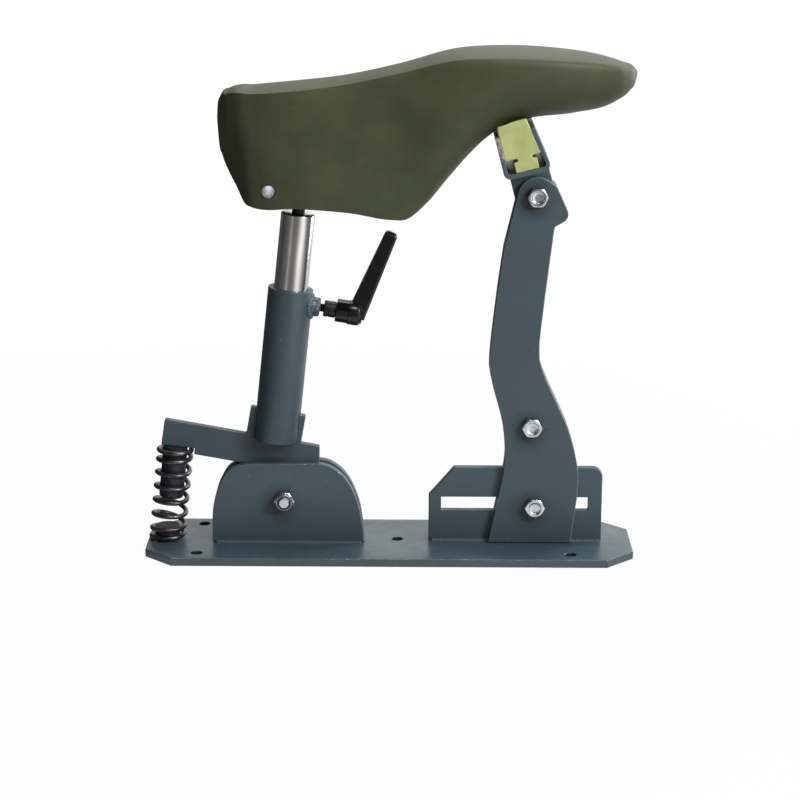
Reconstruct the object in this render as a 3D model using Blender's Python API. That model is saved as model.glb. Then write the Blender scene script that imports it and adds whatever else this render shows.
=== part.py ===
"""Cobbler's last on its sprung lasting stand.

A flat steel base carries a sprung rocker at the left and a slotted arm at the right. The rocker's
tube holds a height rod, whose pin carries the upside-down last. The arm's padded rest takes the toe.
Everything is in metres, +Z up, +X from heel to toe, with the base plate centred on the origin.
"""
import math

import bmesh
import bpy
import numpy as np

for item in list(bpy.data.objects):
    bpy.data.objects.remove(item, do_unlink=True)

# Clearances
GAP = 0.0003
PIN_CLEARANCE = 0.0003

# Base plate
PLATE_LENGTH = 0.350
PLATE_WIDTH = 0.090
PLATE_THICK = 0.006
CORNER_CUT = 0.020
FIXING_HOLE_R = 0.004
LEFT_HOLES_IN = 0.0376
RIGHT_HOLES_IN = 0.0455
HOLES_SIDE_IN = 0.012
MIDDLE_HOLE_OFFSET = 0.0055

# Sheet steel: the middle sheets lie on the centre plane, the outer ones on both sides of them
SHEET = 0.006
EDGE_ROUND = 0.0004

# Hinge cheeks and pivot
PIVOT_IN = 0.0995
PIVOT_HEIGHT = 0.0325
CHEEK = [
    (-0.0522, 0.0000), (-0.0522, 0.0120), (-0.0518, 0.0237), (-0.0495, 0.0358), (-0.0458, 0.0450),
    (-0.0410, 0.0528), (-0.0340, 0.0570), (-0.0220, 0.0587), (0.0000, 0.0590), (0.0210, 0.0590),
    (0.0290, 0.0583), (0.0356, 0.0554), (0.0425, 0.0497), (0.0478, 0.0418), (0.0513, 0.0336),
    (0.0541, 0.0244), (0.0560, 0.0130), (0.0572, 0.0000),
]

# Screws
M8_R = 0.004
M8_FLATS = 0.013
M8_HEAD = 0.0053
M8_NUT = 0.0068
LOCK_NUT = 0.008
LOCK_NUT_CROWN_R = 0.0061
LOCK_RING_R = 0.0050
THREAD_SHOWING = 0.0015

# Rocker: the lever plate, with the tube welded over its tab
LEVER_SLOPE = math.radians(10.1)
LEVER_REACH = 0.0945
LEVER_DEPTH = 0.0221
LEVER_TOP = 0.0419
LEVER_FRONT = 0.018
TAB_LEFT = 0.0353
TAB_RIGHT = 0.0045
TAB_HEIGHT = 0.0206
EYE_R = 0.015
TUBE_TILT = math.radians(6.0)
TUBE_OFFSET = 0.0108
ROD_R = 0.012
TUBE_WALL = 0.0037
TUBE_LOW = 0.0430
TUBE_LENGTH = 0.112

# Return spring, its guide post under the lever and its boss on the base
SPRING_FROM_TIP = 0.0232
SPRING_OFFSET = LEVER_REACH - SPRING_FROM_TIP
SPRING_R = 0.0134
SPRING_WIRE = 0.0035
SPRING_TURNS = 7.6
SPRING_START = math.radians(162)
SPRING_CLOSED = 0.1
SPRING_RAMP = 1.6
SPRING_LEAN = math.radians(13)
SPRING_SEAT = 0.0304
SEAT_OVERHANG = 0.0102
POST_R = 0.0088
POST_LENGTH = 0.038
BOSS_HEIGHT = 0.010
POINTS_PER_CURL = 10

# Height rod and the last's pin
ROD_LENGTH = 0.130
ROD_TOP = 0.0540
PIN_R = 0.0045
PIN_IN_ROD = 0.020
PIN_SHOWN = 0.0065
PIN_IN_LAST = 0.040
THIMBLE_WALL = 0.0016

# Clamp lever, square to the rod but for the weld's droop; lengths run from the tube's axis
CLAMP_DROP = 0.0109
CLAMP_TILT = math.radians(9.0)
BOSS_R = 0.0068
CLAMP_BOSS_REACH = 0.0060
STUD_R = 0.0030
STUD_SHOWN = 0.0026
COLLAR_R = 0.0058
COLLAR_LENGTH = 0.0088
CORE_R = 0.0050
CORE_LENGTH = 0.0100
HUB_NECK_R = 0.0082
HUB_NECK_LENGTH = 0.0090
HUB_R = 0.0088
HUB_LENGTH = 0.0189
HUB_WALL = 0.0030
SCREW_R = 0.0020
SCREW_HEAD_R = 0.0044
SCREW_HEAD_SHOWN = 0.0019
HANDLE_SPRING_WIRE = 0.0006
HANDLE_SPRING_TURNS = 3.5
HANDLE_ROOT_IN = 0.0042
HANDLE_LENGTH = 0.0638
HANDLE_LEAN = math.radians(23.3)
HANDLE_ROOT_R = 0.0066
HANDLE_TIP_R = 0.0046
HANDLE_THICK = 0.0088

# Slotted bracket on the base
BRACKET_IN = 0.0215
BRACKET_LENGTH = 0.1252
BRACKET_HEIGHT = 0.0555
BRACKET_CUT_WIDTH = 0.0183
BRACKET_CUT_HEIGHT = 0.0213
BRACKET_ROUND = 0.007
SLOT_IN_LEFT = 0.0090
SLOT_IN_RIGHT = 0.0099
SLOT_MIDDLE = 0.0281
SLOT_WIDTH = 0.010

# Swept arm: its edges run through places measured from the slot's bolt, then from the top bolt
ARM_IN = 0.0490
ARM_FOOT = 0.0008
ARM_FOOT_LEFT = 0.0330
ARM_FOOT_RIGHT = 0.0265
ARM_LEFT_LOW = [(-0.0230, 0.0225), (-0.0215, 0.0400), (-0.0246, 0.0645), (-0.0320, 0.0925)]
ARM_LEFT_HIGH = [(-0.0316, -0.1170), (-0.0274, -0.0735), (-0.0228, -0.0375)]
ARM_RIGHT_LOW = [(0.0307, 0.0085), (0.0307, 0.0275), (0.0233, 0.0570), (0.0050, 0.0985)]
ARM_RIGHT_HIGH = [(0.0034, -0.1085), (0.0063, -0.0735)]
ARM_NOSE = [
    (0.0112, -0.0270, 0.001), (0.0125, -0.0212, 0.0008), (0.0235, -0.0150, 0.0075),
    (0.0130, 0.0076, 0.006), (0.0070, 0.0114, 0),
]
MIDDLE_BOLT_LEFT = 0.0029
MIDDLE_BOLT_UP = 0.0598
SPACER_R = 0.009
ARM_HEAD_R = 0.0138

# Toe rest, in a frame that leans with it about the arm's top bolt
REST_CONTACT = 0.1488
REST_LEAN = math.radians(18.8)
REST_TURN = math.radians(14.7)
REST_RADIUS = 0.0539
CHANNEL_BASE = 0.0200
CHANNEL_WALL = 0.003
CHANNEL_LEFT = 0.0193
CHANNEL_RIGHT = 0.0141
CHANNEL_TOP = 0.0512
CHANNEL_PINCH = 0.0053
CHANNEL_ROUND = 0.005
CHANNEL_WIDTH = 0.062
PAD_CRADLE = 0.0048
TANG_LEFT = 0.0158
TANG_RIGHT = 0.0125
TANG_DROP = 0.012
NOTCH_TOP = 0.0330
NECK_LEFT = 0.0078
NECK_RIGHT = 0.0026
FOOT_LEFT = 0.0108
FOOT_RIGHT = 0.0055
HOOK_DEPTH = 0.0022

# Last, upside down: heights and widths at places along it, measured from its seat on the pin
LAST_HEEL = -0.0562
LAST_TOE = 0.2332
LAST_STATIONS = 44
BUSH_X = -0.0202
BUSH_Z = 0.0120
BUSH_R = 0.0050
BUSH_BORE_R = 0.0038

# Places worked out from the sizes
LEFT_END = -PLATE_LENGTH / 2
RIGHT_END = PLATE_LENGTH / 2
HALF_SHEET = SHEET / 2
OUTER_LOW = HALF_SHEET + GAP
OUTER_HIGH = OUTER_LOW + SHEET
PLATE_TOP = PLATE_THICK
SEAT_Z = PLATE_TOP + GAP
PIVOT_X = LEFT_END + PIVOT_IN
PIVOT_Z = PLATE_TOP + PIVOT_HEIGHT
TUBE_BORE_R = ROD_R + PIN_CLEARANCE
TUBE_R = TUBE_BORE_R + TUBE_WALL
HOLE_R = M8_R + PIN_CLEARANCE
AXIS = np.array([math.sin(TUBE_TILT), 0.0, math.cos(TUBE_TILT)])
ACROSS = np.array([math.cos(TUBE_TILT), 0.0, -math.sin(TUBE_TILT)])
TUBE_FOOT = np.array([PIVOT_X - TUBE_OFFSET, 0.0, PIVOT_Z])
TUBE_HIGH = TUBE_LOW + TUBE_LENGTH
ROD_HIGH = TUBE_HIGH + ROD_TOP
CLAMP_LEVEL = TUBE_HIGH - CLAMP_DROP
LAST_LEVEL = ROD_HIGH + PIN_SHOWN
LAST_SEAT = TUBE_FOOT + LAST_LEVEL * AXIS
BRACKET_RIGHT = RIGHT_END - BRACKET_IN
BRACKET_LEFT = BRACKET_RIGHT - BRACKET_LENGTH
ARM_X = BRACKET_RIGHT - ARM_IN


def steel_paint():
    """Dark blue-grey powder coat."""
    return material("powder_coat", (0.061, 0.089, 0.107), 0.0, 0.45)


def material(name, colour, metallic, roughness):
    """Principled material, made once for each name."""
    found = bpy.data.materials.get(name)
    if found:
        return found
    made = bpy.data.materials.new(name)
    made.use_nodes = True
    surface = made.node_tree.nodes["Principled BSDF"]
    surface.inputs["Base Color"].default_value = (*colour, 1.0)
    surface.inputs["Metallic"].default_value = metallic
    surface.inputs["Roughness"].default_value = roughness
    made.diffuse_color = (*colour, 1.0)
    return made


def zinc():
    return material("bright_zinc", (0.62, 0.64, 0.66), 1.0, 0.28)


def black_steel():
    return material("black_steel", (0.012, 0.012, 0.013), 0.6, 0.42)


def joint_axis(name, place, parent=None):
    """Empty on a joint's axis; what moves about it is parented to it."""
    empty = bpy.data.objects.new(name, None)
    empty.empty_display_size = 0.01
    bpy.context.scene.collection.objects.link(empty)
    empty["place"] = [float(value) for value in place]
    start = np.array(parent["place"]) if parent else np.zeros(3)
    empty.parent = parent
    empty.location = np.array(place) - start
    return empty


def finish_mesh(name, shape, coat, carrier):
    """Makes a bmesh in world places into an object whose origin is its carrier's axis."""
    bmesh.ops.recalc_face_normals(shape, faces=shape.faces)
    origin = np.array(carrier["place"]) if carrier else np.zeros(3)
    bmesh.ops.translate(shape, verts=shape.verts, vec=-origin)
    mesh = bpy.data.meshes.new(name)
    shape.to_mesh(mesh)
    shape.free()
    mesh.shade_smooth()
    mesh.set_sharp_from_angle(angle=math.radians(35))
    made = bpy.data.objects.new(name, mesh)
    bpy.context.scene.collection.objects.link(made)
    made.parent = carrier
    if coat:
        mesh.materials.append(coat)
    else:
        made.hide_render = True
        made.display_type = "WIRE"
    return made


def cut(body, cutter, operation="DIFFERENCE"):
    """Boolean of a body with a hidden cutter, kept as a modifier."""
    step = body.modifiers.new(cutter.name, "BOOLEAN")
    step.operation = operation
    step.solver = "EXACT"
    step.object = cutter


def prism(name, outline, low, high, coat, carrier=None, plane="XZ", edge=EDGE_ROUND):
    """Flat plate: an outline in the plane, thick from low to high, with its rims eased."""
    shape = bmesh.new()
    rims = []
    for level in (low, high):
        if plane == "XZ":
            points = [(x, level, z) for x, z in outline]
        else:
            points = [(x, y, level) for x, y in outline]
        rims.append([shape.verts.new(point) for point in points])
    count = len(outline)
    ends = [shape.faces.new(rim) for rim in rims]
    for i in range(count):
        j = (i + 1) % count
        shape.faces.new((rims[0][i], rims[0][j], rims[1][j], rims[1][i]))
    if edge:
        edges = [line for face in ends for line in face.edges]
        bmesh.ops.recalc_face_normals(shape, faces=shape.faces)
        bmesh.ops.bevel(shape, geom=edges, offset=edge, segments=1, affect="EDGES")
    return finish_mesh(name, shape, coat, carrier)


def rounded(corners):
    """Outline through (x, z, radius) corners, each turned on an arc of its radius."""
    outline = []
    count = len(corners)
    for i in range(count):
        before, here, after = (np.array(corners[(i + k) % count][:2]) for k in (-1, 0, 1))
        radius = corners[i][2]
        a, b = before - here, after - here
        room = min(np.linalg.norm(a), np.linalg.norm(b)) * 0.48
        a, b = a / np.linalg.norm(a), b / np.linalg.norm(b)
        half = math.acos(float(np.clip(a @ b, -1, 1))) / 2
        reach = min(radius / math.tan(half), room)
        if radius == 0 or reach < 1e-5:
            outline.append(tuple(here))
            continue
        true_radius = reach * math.tan(half)
        centre = here + (a + b) / np.linalg.norm(a + b) * true_radius / math.sin(half)
        first = math.atan2(*(here + a * reach - centre)[::-1])
        turn = math.atan2(*(here + b * reach - centre)[::-1]) - first
        turn = (turn + math.pi) % (2 * math.pi) - math.pi
        steps = max(2, math.ceil(abs(turn) * (true_radius / 0.001) ** 0.5 / 0.9))
        for angle in np.linspace(first, first + turn, steps + 1):
            outline.append(tuple(centre + true_radius * np.array([math.cos(angle), math.sin(angle)])))
    return outline


def turned(name, start, direction, profile, coat, carrier=None, sides=32, hollow=False):
    """Round or hexagonal piece on an axis: profile is (along, radius) or (along, half flats, 6)."""
    direction = np.array(direction, float) / np.linalg.norm(direction)
    first = np.array([0.0, 1.0, 0.0]) if abs(direction[1]) < 0.9 else np.array([0.0, 0.0, 1.0])
    second = np.cross(direction, first)
    shape = bmesh.new()
    rings = []
    for entry in profile:
        along, radius = entry[:2]
        ring = []
        for k in range(sides):
            angle = 2 * math.pi * k / sides
            reach = radius
            if len(entry) > 2:
                reach = radius / math.cos((angle + math.pi / 6) % (math.pi / 3) - math.pi / 6)
            side = math.cos(angle) * first + math.sin(angle) * second
            ring.append(shape.verts.new(np.array(start) + along * direction + reach * side))
        rings.append(ring)
    pairs = list(zip(rings, rings[1:]))
    if hollow:
        pairs.append((rings[-1], rings[0]))
    else:
        shape.faces.new(rings[0])
        shape.faces.new(rings[-1])
    for low, high in pairs:
        for k in range(sides):
            j = (k + 1) % sides
            shape.faces.new((low[k], low[j], high[j], high[k]))
    return finish_mesh(name, shape, coat, carrier)


def drill(name, body, start, direction, low, high, radius, carrier=None, sides=32):
    """Round hole from low to high along a direction."""
    cut(body, turned(name, start, direction, [(low, radius), (high, radius)], None, carrier, sides))


def hex_bolt(name, x, z, head_y, tip_y, carrier):
    """Hexagon bolt with a dished head in front and its thread to the back."""
    flats = M8_FLATS / 2
    side = math.copysign(1, head_y - tip_y)
    profile = [
        (-M8_HEAD + 0.0011, flats * 0.62),
        (-M8_HEAD + 0.0003, flats * 0.74),
        (-M8_HEAD, flats * 0.94),
        (-M8_HEAD + 0.0006, flats, 6),
        (0.0, flats, 6),
        (0.0, M8_R),
        (abs(tip_y - head_y) - 0.0008, M8_R),
        (abs(tip_y - head_y), M8_R * 0.82),
    ]
    return turned(name, (x, head_y, z), (0, -side, 0), profile, zinc(), carrier, 24)


def hex_nut(name, x, z, face_y, outward, carrier, crown=False):
    """Hexagon nut against a face, with a round crown if it is a lock nut."""
    flats = M8_FLATS / 2
    high = LOCK_NUT if crown else M8_NUT
    profile = [(0.0, HOLE_R), (0.0, flats * 0.95), (0.0006, flats, 6)]
    if crown:
        profile += [(high - 0.0026, flats, 6), (high - 0.0020, LOCK_NUT_CROWN_R)]
        profile += [(high - 0.0006, LOCK_NUT_CROWN_R), (high, LOCK_NUT_CROWN_R - 0.0006)]
        profile += [(high, LOCK_RING_R + GAP), (high - 0.0020, LOCK_RING_R + GAP)]
        profile += [(high - 0.0020, HOLE_R)]
    else:
        profile += [(high - 0.0006, flats, 6), (high, flats * 0.95), (high, HOLE_R)]
    return turned(name, (x, face_y, z), (0, outward, 0), profile, zinc(), carrier, 24, hollow=True)


def coil(name, wire, radius, turns, centre_line, coat, carrier):
    """Round wire wound on a centre line that gives a place and two cross axes for each turn."""
    count = int(turns * POINTS_PER_CURL) + 1
    points = []
    for turn in np.linspace(0.0, turns, count):
        centre, first, second = centre_line(turn)
        angle = 2 * math.pi * turn
        points.append(centre + radius * (math.cos(angle) * first + math.sin(angle) * second))
    points = np.array(points)
    far = 0.75 * POINTS_PER_CURL
    least = min(
        np.linalg.norm(points[i] - points[j])
        for i in range(count)
        for j in range(count)
        if j - i > far
    )
    print(f"{name}: least gap to itself {1000 * (least - wire):.2f} mm")
    origin = np.array(carrier["place"]) if carrier else np.zeros(3)
    line = bpy.data.curves.new(name, "CURVE")
    line.dimensions = "3D"
    line.bevel_depth = wire / 2
    line.bevel_resolution = 1
    line.use_fill_caps = True
    spline = line.splines.new("POLY")
    spline.points.add(count - 1)
    for point, place in zip(spline.points, points):
        point.co = (*(place - origin), 1.0)
    line.materials.append(coat)
    made = bpy.data.objects.new(name, line)
    bpy.context.scene.collection.objects.link(made)
    made.parent = carrier
    return made


def curve_through(knots, place):
    """Smooth value through (place, value) knots, with slopes from the knots on both sides."""
    at = np.array([knot[0] for knot in knots])
    value = np.array([knot[1] for knot in knots])
    slope = np.gradient(value, at)
    place = np.clip(place, at[0], at[-1])
    k = np.clip(np.searchsorted(at, place) - 1, 0, len(at) - 2)
    step = at[k + 1] - at[k]
    t = (place - at[k]) / step
    rise = (2 * t**3 - 3 * t**2 + 1) * value[k] + (3 * t**2 - 2 * t**3) * value[k + 1]
    return rise + step * ((t**3 - 2 * t**2 + t) * slope[k] + (t**3 - t**2) * slope[k + 1])


def smooth(knots, steps):
    """Points on a Catmull-Rom curve through (x, z) knots, so many for each stretch."""
    knots = [np.array(knot) for knot in knots]
    padded = [2 * knots[0] - knots[1], *knots, 2 * knots[-1] - knots[-2]]
    path = []
    for a, b, c, d in zip(padded, padded[1:], padded[2:], padded[3:]):
        for t in np.linspace(0, 1, steps + 1)[:-1]:
            bend = (c - a) * t + (2 * a - 5 * b + 4 * c - d) * t**2 + (3 * b - a - 3 * c + d) * t**3
            path.append(tuple(b + bend / 2))
    return path + [tuple(knots[-1])]


def tube_point(across, along):
    """(x, z) of a place in the tube's frame."""
    place = TUBE_FOOT + across * ACROSS + along * AXIS
    return place[0], place[2]


def lever_point(out, up):
    """(x, z) of a place in the lever's frame, which starts at the pivot."""
    x = PIVOT_X + out * math.cos(LEVER_SLOPE) + up * math.sin(LEVER_SLOPE)
    return x, PIVOT_Z - out * math.sin(LEVER_SLOPE) + up * math.cos(LEVER_SLOPE)


def base():
    """Chamfered base plate with its five screw holes."""
    x, y = PLATE_LENGTH / 2, PLATE_WIDTH / 2
    c = CORNER_CUT
    outline = [(-x, c - y), (c - x, -y), (x - c, -y), (x, c - y)]
    outline += [(x, y - c), (x - c, y), (c - x, y), (-x, y - c)]
    plate = prism("base_plate", outline, 0.0, PLATE_THICK, steel_paint(), plane="XY")
    places = [(MIDDLE_HOLE_OFFSET, 0.0)]
    for hole_x in (LEFT_END + LEFT_HOLES_IN, RIGHT_END - RIGHT_HOLES_IN):
        places += [(hole_x, side * (y - HOLES_SIDE_IN)) for side in (-1, 1)]
    for number, (hole_x, hole_y) in enumerate(places, 1):
        drill(f"screw_hole_{number}", plate, (hole_x, hole_y, 0), (0, 0, 1), -0.005,
              PLATE_THICK + 0.005, FIXING_HOLE_R)


def hinge():
    """Two welded cheeks and the pivot bolt between them."""
    outline = smooth([(PIVOT_X + x, SEAT_Z + z) for x, z in CHEEK], 4)
    for name, low in (("hinge_cheek_front", -OUTER_HIGH), ("hinge_cheek_back", OUTER_LOW)):
        cheek = prism(name, outline, low, low + SHEET, steel_paint())
        drill(name + "_bore", cheek, (PIVOT_X, 0, PIVOT_Z), (0, 1, 0), low - 0.002,
              low + SHEET + 0.002, HOLE_R)
    face = OUTER_HIGH + GAP
    tip = -(face + LOCK_NUT + THREAD_SHOWING)
    hex_bolt("pivot_bolt", PIVOT_X, PIVOT_Z, face, tip, None)
    hex_nut("pivot_lock_nut", PIVOT_X, PIVOT_Z, -face, -1, None, crown=True)
    ring_low = LOCK_NUT - 0.0020 + GAP
    ring_high = LOCK_NUT - 0.0004
    ring = [(ring_low, HOLE_R), (ring_low, LOCK_RING_R), (ring_high, LOCK_RING_R), (ring_high, HOLE_R)]
    nylon = material("nylon_ring", (0.10, 0.13, 0.42), 0.0, 0.45)
    turned("lock_nut_ring", (PIVOT_X, -face, PIVOT_Z), (0, -1, 0), ring, nylon, sides=24, hollow=True)


def rocker(carrier):
    """Lever plate with its tab, the tube over the tab, the spring post and the clamp's boss."""
    low = LEVER_TOP - LEVER_DEPTH
    high = LEVER_TOP + TAB_HEIGHT
    wall = tube_point(SPRING_R + 0.0007 - SPRING_OFFSET, SPRING_SEAT)
    foot_out = (wall[0] - PIVOT_X) * math.cos(LEVER_SLOPE) - (wall[1] - PIVOT_Z) * math.sin(LEVER_SLOPE)
    corners = [
        (*tube_point(-SPRING_OFFSET - SEAT_OVERHANG, SPRING_SEAT), 0),
        (*wall, 0.0006),
        (*lever_point(foot_out, low), 0.0010),
        (*lever_point(-1.6 * EYE_R, low), 0.006),
        (*lever_point(-EYE_R, -EYE_R), 0.012),
        (*lever_point(EYE_R, -EYE_R), 0.012),
        (*lever_point(1.5 * EYE_R, EYE_R), 0.010),
        (*lever_point(LEVER_FRONT, LEVER_TOP), 0.002),
        (*lever_point(TAB_RIGHT, LEVER_TOP), 0.001),
        (*lever_point(TAB_RIGHT, high), 0.003),
        (*lever_point(-TAB_LEFT, high), 0.003),
        (*lever_point(-TAB_LEFT, LEVER_TOP), 0.001),
        (*lever_point(-LEVER_REACH, LEVER_TOP), 0.0015),
    ]
    lever = prism("rocker_lever", rounded(corners), -HALF_SHEET, HALF_SHEET, steel_paint(), carrier)
    drill("lever_bore", lever, (PIVOT_X, 0, PIVOT_Z), (0, 1, 0), -SHEET, SHEET, HOLE_R, carrier)

    wide = TUBE_R + 0.01
    slot = [
        lever_point(-TAB_LEFT - wide, low), lever_point(TAB_RIGHT + wide, low),
        lever_point(TAB_RIGHT + wide, high + GAP), lever_point(-TAB_LEFT - wide, high + GAP),
    ]
    tube_profile = [
        (TUBE_LOW, TUBE_BORE_R), (TUBE_LOW, TUBE_R),
        (TUBE_HIGH - 0.0006, TUBE_R), (TUBE_HIGH, TUBE_R - 0.0006), (TUBE_HIGH, TUBE_BORE_R),
    ]
    tube = turned("socket_tube", TUBE_FOOT, AXIS, tube_profile, steel_paint(), carrier, 48, hollow=True)
    cut(tube, prism("tab_slot", slot, -OUTER_LOW, OUTER_LOW, None, carrier, edge=0))

    start, along = clamp_line()
    bore = STUD_R + PIN_CLEARANCE
    drill("clamp_bore", tube, start, along, ROD_R * 0.5, TUBE_R + 0.004, bore, carrier)
    reach = TUBE_R + CLAMP_BOSS_REACH
    boss = turned("clamp_boss", start, along, [(ROD_R, BOSS_R), (reach, BOSS_R)], steel_paint(), carrier)
    drill("boss_saddle", boss, TUBE_FOOT, AXIS, TUBE_LOW, TUBE_HIGH + 0.02, TUBE_R + GAP, carrier, 48)
    drill("boss_bore", boss, start, along, 0, reach + 0.002, bore, carrier)

    seat = TUBE_FOOT - SPRING_OFFSET * ACROSS + (SPRING_SEAT - GAP) * AXIS
    post = [(0, POST_R), (POST_LENGTH - 0.001, POST_R), (POST_LENGTH, POST_R - 0.001)]
    turned("spring_guide_post", seat, -AXIS, post, steel_paint(), carrier)


def return_spring():
    """Closed-end compression spring between the base and the lever's notch."""
    level = SEAT_Z + SPRING_WIRE / 2
    high = TUBE_FOOT - SPRING_OFFSET * ACROSS + (SPRING_SEAT - GAP - SPRING_WIRE / 2) * AXIS
    length = (high[2] - level) / math.cos(TUBE_TILT)
    low = high - length * AXIS
    step = 0.01
    turns = np.arange(0.0, SPRING_TURNS, step) + step / 2
    inward = np.minimum(turns, SPRING_TURNS - turns)
    open_share = np.clip((inward - SPRING_CLOSED) / SPRING_RAMP, 0, 1)
    open_share = open_share**2 * (3 - 2 * open_share)
    pitch = (length - SPRING_WIRE * SPRING_TURNS) / (open_share.sum() * step)
    climb = np.concatenate([[0.0], np.cumsum(SPRING_WIRE + pitch * open_share) * step])

    def centre_line(turn):
        height = np.interp(turn, np.arange(len(climb)) * step, climb)
        share = height / length
        tilt = SPRING_LEAN * np.interp(share, (0, 0.12, 0.3, 0.75, 1), (0, 0.6, 1, 1, 0.5))
        across = np.array([math.cos(tilt), 0, -math.sin(tilt)])
        back = np.array([0, 1, 0])
        c, s = math.cos(SPRING_START), math.sin(SPRING_START)
        return low + height * AXIS, c * across + s * back, c * back - s * across

    wire = material("oiled_spring_steel", (0.02, 0.019, 0.018), 0.9, 0.25)
    coil("return_spring", SPRING_WIRE, SPRING_R - SPRING_WIRE / 2, SPRING_TURNS, centre_line, wire, None)
    boss = [(0, POST_R), (BOSS_HEIGHT - 0.001, POST_R), (BOSS_HEIGHT, POST_R - 0.001)]
    turned("spring_boss", (low[0], 0, SEAT_Z), (0, 0, 1), boss, steel_paint())


def clamp_line():
    """Start on the tube's axis, and direction, of the clamp's screw."""
    start = TUBE_FOOT + CLAMP_LEVEL * AXIS
    return start, np.array([math.cos(CLAMP_TILT), 0.0, -math.sin(CLAMP_TILT)])


def clamp(screw_axis, handle_axis):
    """Indexing clamp lever: stud, splined insert, lever, its spring and its retaining screw."""
    start, along = clamp_line()
    collar = TUBE_R + CLAMP_BOSS_REACH + STUD_SHOWN
    core = collar + COLLAR_LENGTH
    core_end = core + CORE_LENGTH
    socket = collar + 0.0062
    screw_hole = core_end - 0.0085
    stud = [(ROD_R + GAP, STUD_R - 0.0006), (ROD_R + GAP + 0.0006, STUD_R), (socket, STUD_R)]
    bore = STUD_R + PIN_CLEARANCE
    turned("clamp_stud", start, along, stud, black_steel(), screw_axis, 24)
    insert_profile = [
        (collar, bore), (collar, COLLAR_R - 0.0006), (collar + 0.0006, COLLAR_R),
        (core - 0.0003, COLLAR_R), (core - 0.0003, CORE_R), (core_end, CORE_R),
        (core_end, SCREW_R + GAP), (screw_hole, SCREW_R + GAP), (screw_hole - 0.0004, bore),
    ]
    turned("clamp_insert", start, along, insert_profile, black_steel(), screw_axis, 24, hollow=True)

    hub_end = core + HUB_LENGTH
    shelf = core_end + HUB_WALL
    spring_bore = SCREW_HEAD_R + GAP
    step = core + HUB_NECK_LENGTH
    hub = [
        (core, HUB_NECK_R - 0.0006), (core + 0.0006, HUB_NECK_R), (step, HUB_NECK_R), (step, HUB_R),
        (hub_end - 0.0030, HUB_R), (hub_end, HUB_R - 0.0020),
    ]
    handle = turned("clamp_handle", start, along, hub, black_plastic(), handle_axis, 32)
    cut(handle, handle_arm(start + (hub_end - HANDLE_ROOT_IN) * along, handle_axis), "UNION")
    bores = {"core": (core - 0.004, core_end + GAP, CORE_R + GAP)}
    bores["screw"] = (core, hub_end, SCREW_R + 0.0005)
    bores["spring"] = (shelf, hub_end + 0.01, spring_bore)
    for use, (low, high, radius) in bores.items():
        drill(f"handle_{use}_bore", handle, start, along, low, high, radius, handle_axis)

    head = hub_end - 0.0010
    screw = [
        (screw_hole + GAP, SCREW_R), (head, SCREW_R), (head, SCREW_HEAD_R),
        (hub_end + SCREW_HEAD_SHOWN - 0.0004, SCREW_HEAD_R),
        (hub_end + SCREW_HEAD_SHOWN, SCREW_HEAD_R - 0.0006),
    ]
    turned("clamp_retaining_screw", start, along, screw, black_steel(), screw_axis, 24)

    spring_low = shelf + GAP + HANDLE_SPRING_WIRE / 2
    spring_high = head - GAP - HANDLE_SPRING_WIRE / 2
    first = np.array([0.0, 1.0, 0.0])
    second = np.cross(along, first)

    def centre_line(turn):
        share = turn / HANDLE_SPRING_TURNS
        return start + (spring_low + share * (spring_high - spring_low)) * along, first, second

    middle = (SCREW_R + SCREW_HEAD_R) / 2 + GAP
    coil("clamp_handle_spring", HANDLE_SPRING_WIRE, middle, HANDLE_SPRING_TURNS, centre_line, zinc(),
         screw_axis)


def black_plastic():
    return material("black_plastic", (0.010, 0.010, 0.011), 0.0, 0.5)


def handle_arm(root, carrier):
    """Tapered lever arm, lofted through round-cornered sections up to a domed tip."""
    lean = np.array([math.sin(HANDLE_LEAN), 0.0, math.cos(HANDLE_LEAN)])
    side = np.array([math.cos(HANDLE_LEAN), 0.0, -math.sin(HANDLE_LEAN)])
    deep = np.array([0.0, 1.0, 0.0])
    shape = bmesh.new()
    length = HANDLE_LENGTH - HANDLE_TIP_R
    stations = [(0.0, 1.0), (length * 0.5, 1.0), (length, 1.0)]
    stations += [(length + HANDLE_TIP_R * math.sin(a), math.cos(a)) for a in np.radians((30, 55, 75))]
    rings = []
    for along, scale in stations:
        share = min(along / length, 1.0)
        wide = scale * (HANDLE_ROOT_R + share * (HANDLE_TIP_R - HANDLE_ROOT_R))
        thick = scale * HANDLE_THICK / 2
        ring = []
        for k in range(16):
            angle = 2 * math.pi * (k + 0.5) / 16
            c, s = math.cos(angle), math.sin(angle)
            across = wide * math.copysign(abs(c) ** 0.6, c)
            through = thick * math.copysign(abs(s) ** 0.6, s)
            ring.append(shape.verts.new(root + along * lean + across * side + through * deep))
        rings.append(ring)
    shape.faces.new(rings[0])
    shape.faces.new(rings[-1])
    for low, high in zip(rings, rings[1:]):
        for k in range(16):
            j = (k + 1) % 16
            shape.faces.new((low[k], low[j], high[j], high[k]))
    return finish_mesh("handle_arm", shape, None, carrier)


def height_rod(rod_axis, pin_axis):
    """Bright rod that slides in the tube, and the pin in its end."""
    low, high = ROD_HIGH - ROD_LENGTH, ROD_HIGH
    bore = PIN_R + PIN_CLEARANCE
    profile = [
        (low, ROD_R - 0.001), (low + 0.001, ROD_R), (high - 0.0006, ROD_R), (high, ROD_R - 0.0006),
        (high, bore), (high - PIN_IN_ROD, bore),
    ]
    steel = material("bright_rod", (0.60, 0.58, 0.56), 1.0, 0.22)
    turned("height_rod", TUBE_FOOT, AXIS, profile, steel, rod_axis, 48)
    tip = LAST_LEVEL + PIN_IN_LAST - GAP
    pin = [(high - PIN_IN_ROD + GAP, PIN_R), (tip - 0.001, PIN_R), (tip, PIN_R - 0.001)]
    turned("last_pin", TUBE_FOOT, AXIS, pin, black_steel(), pin_axis, 32)


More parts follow.
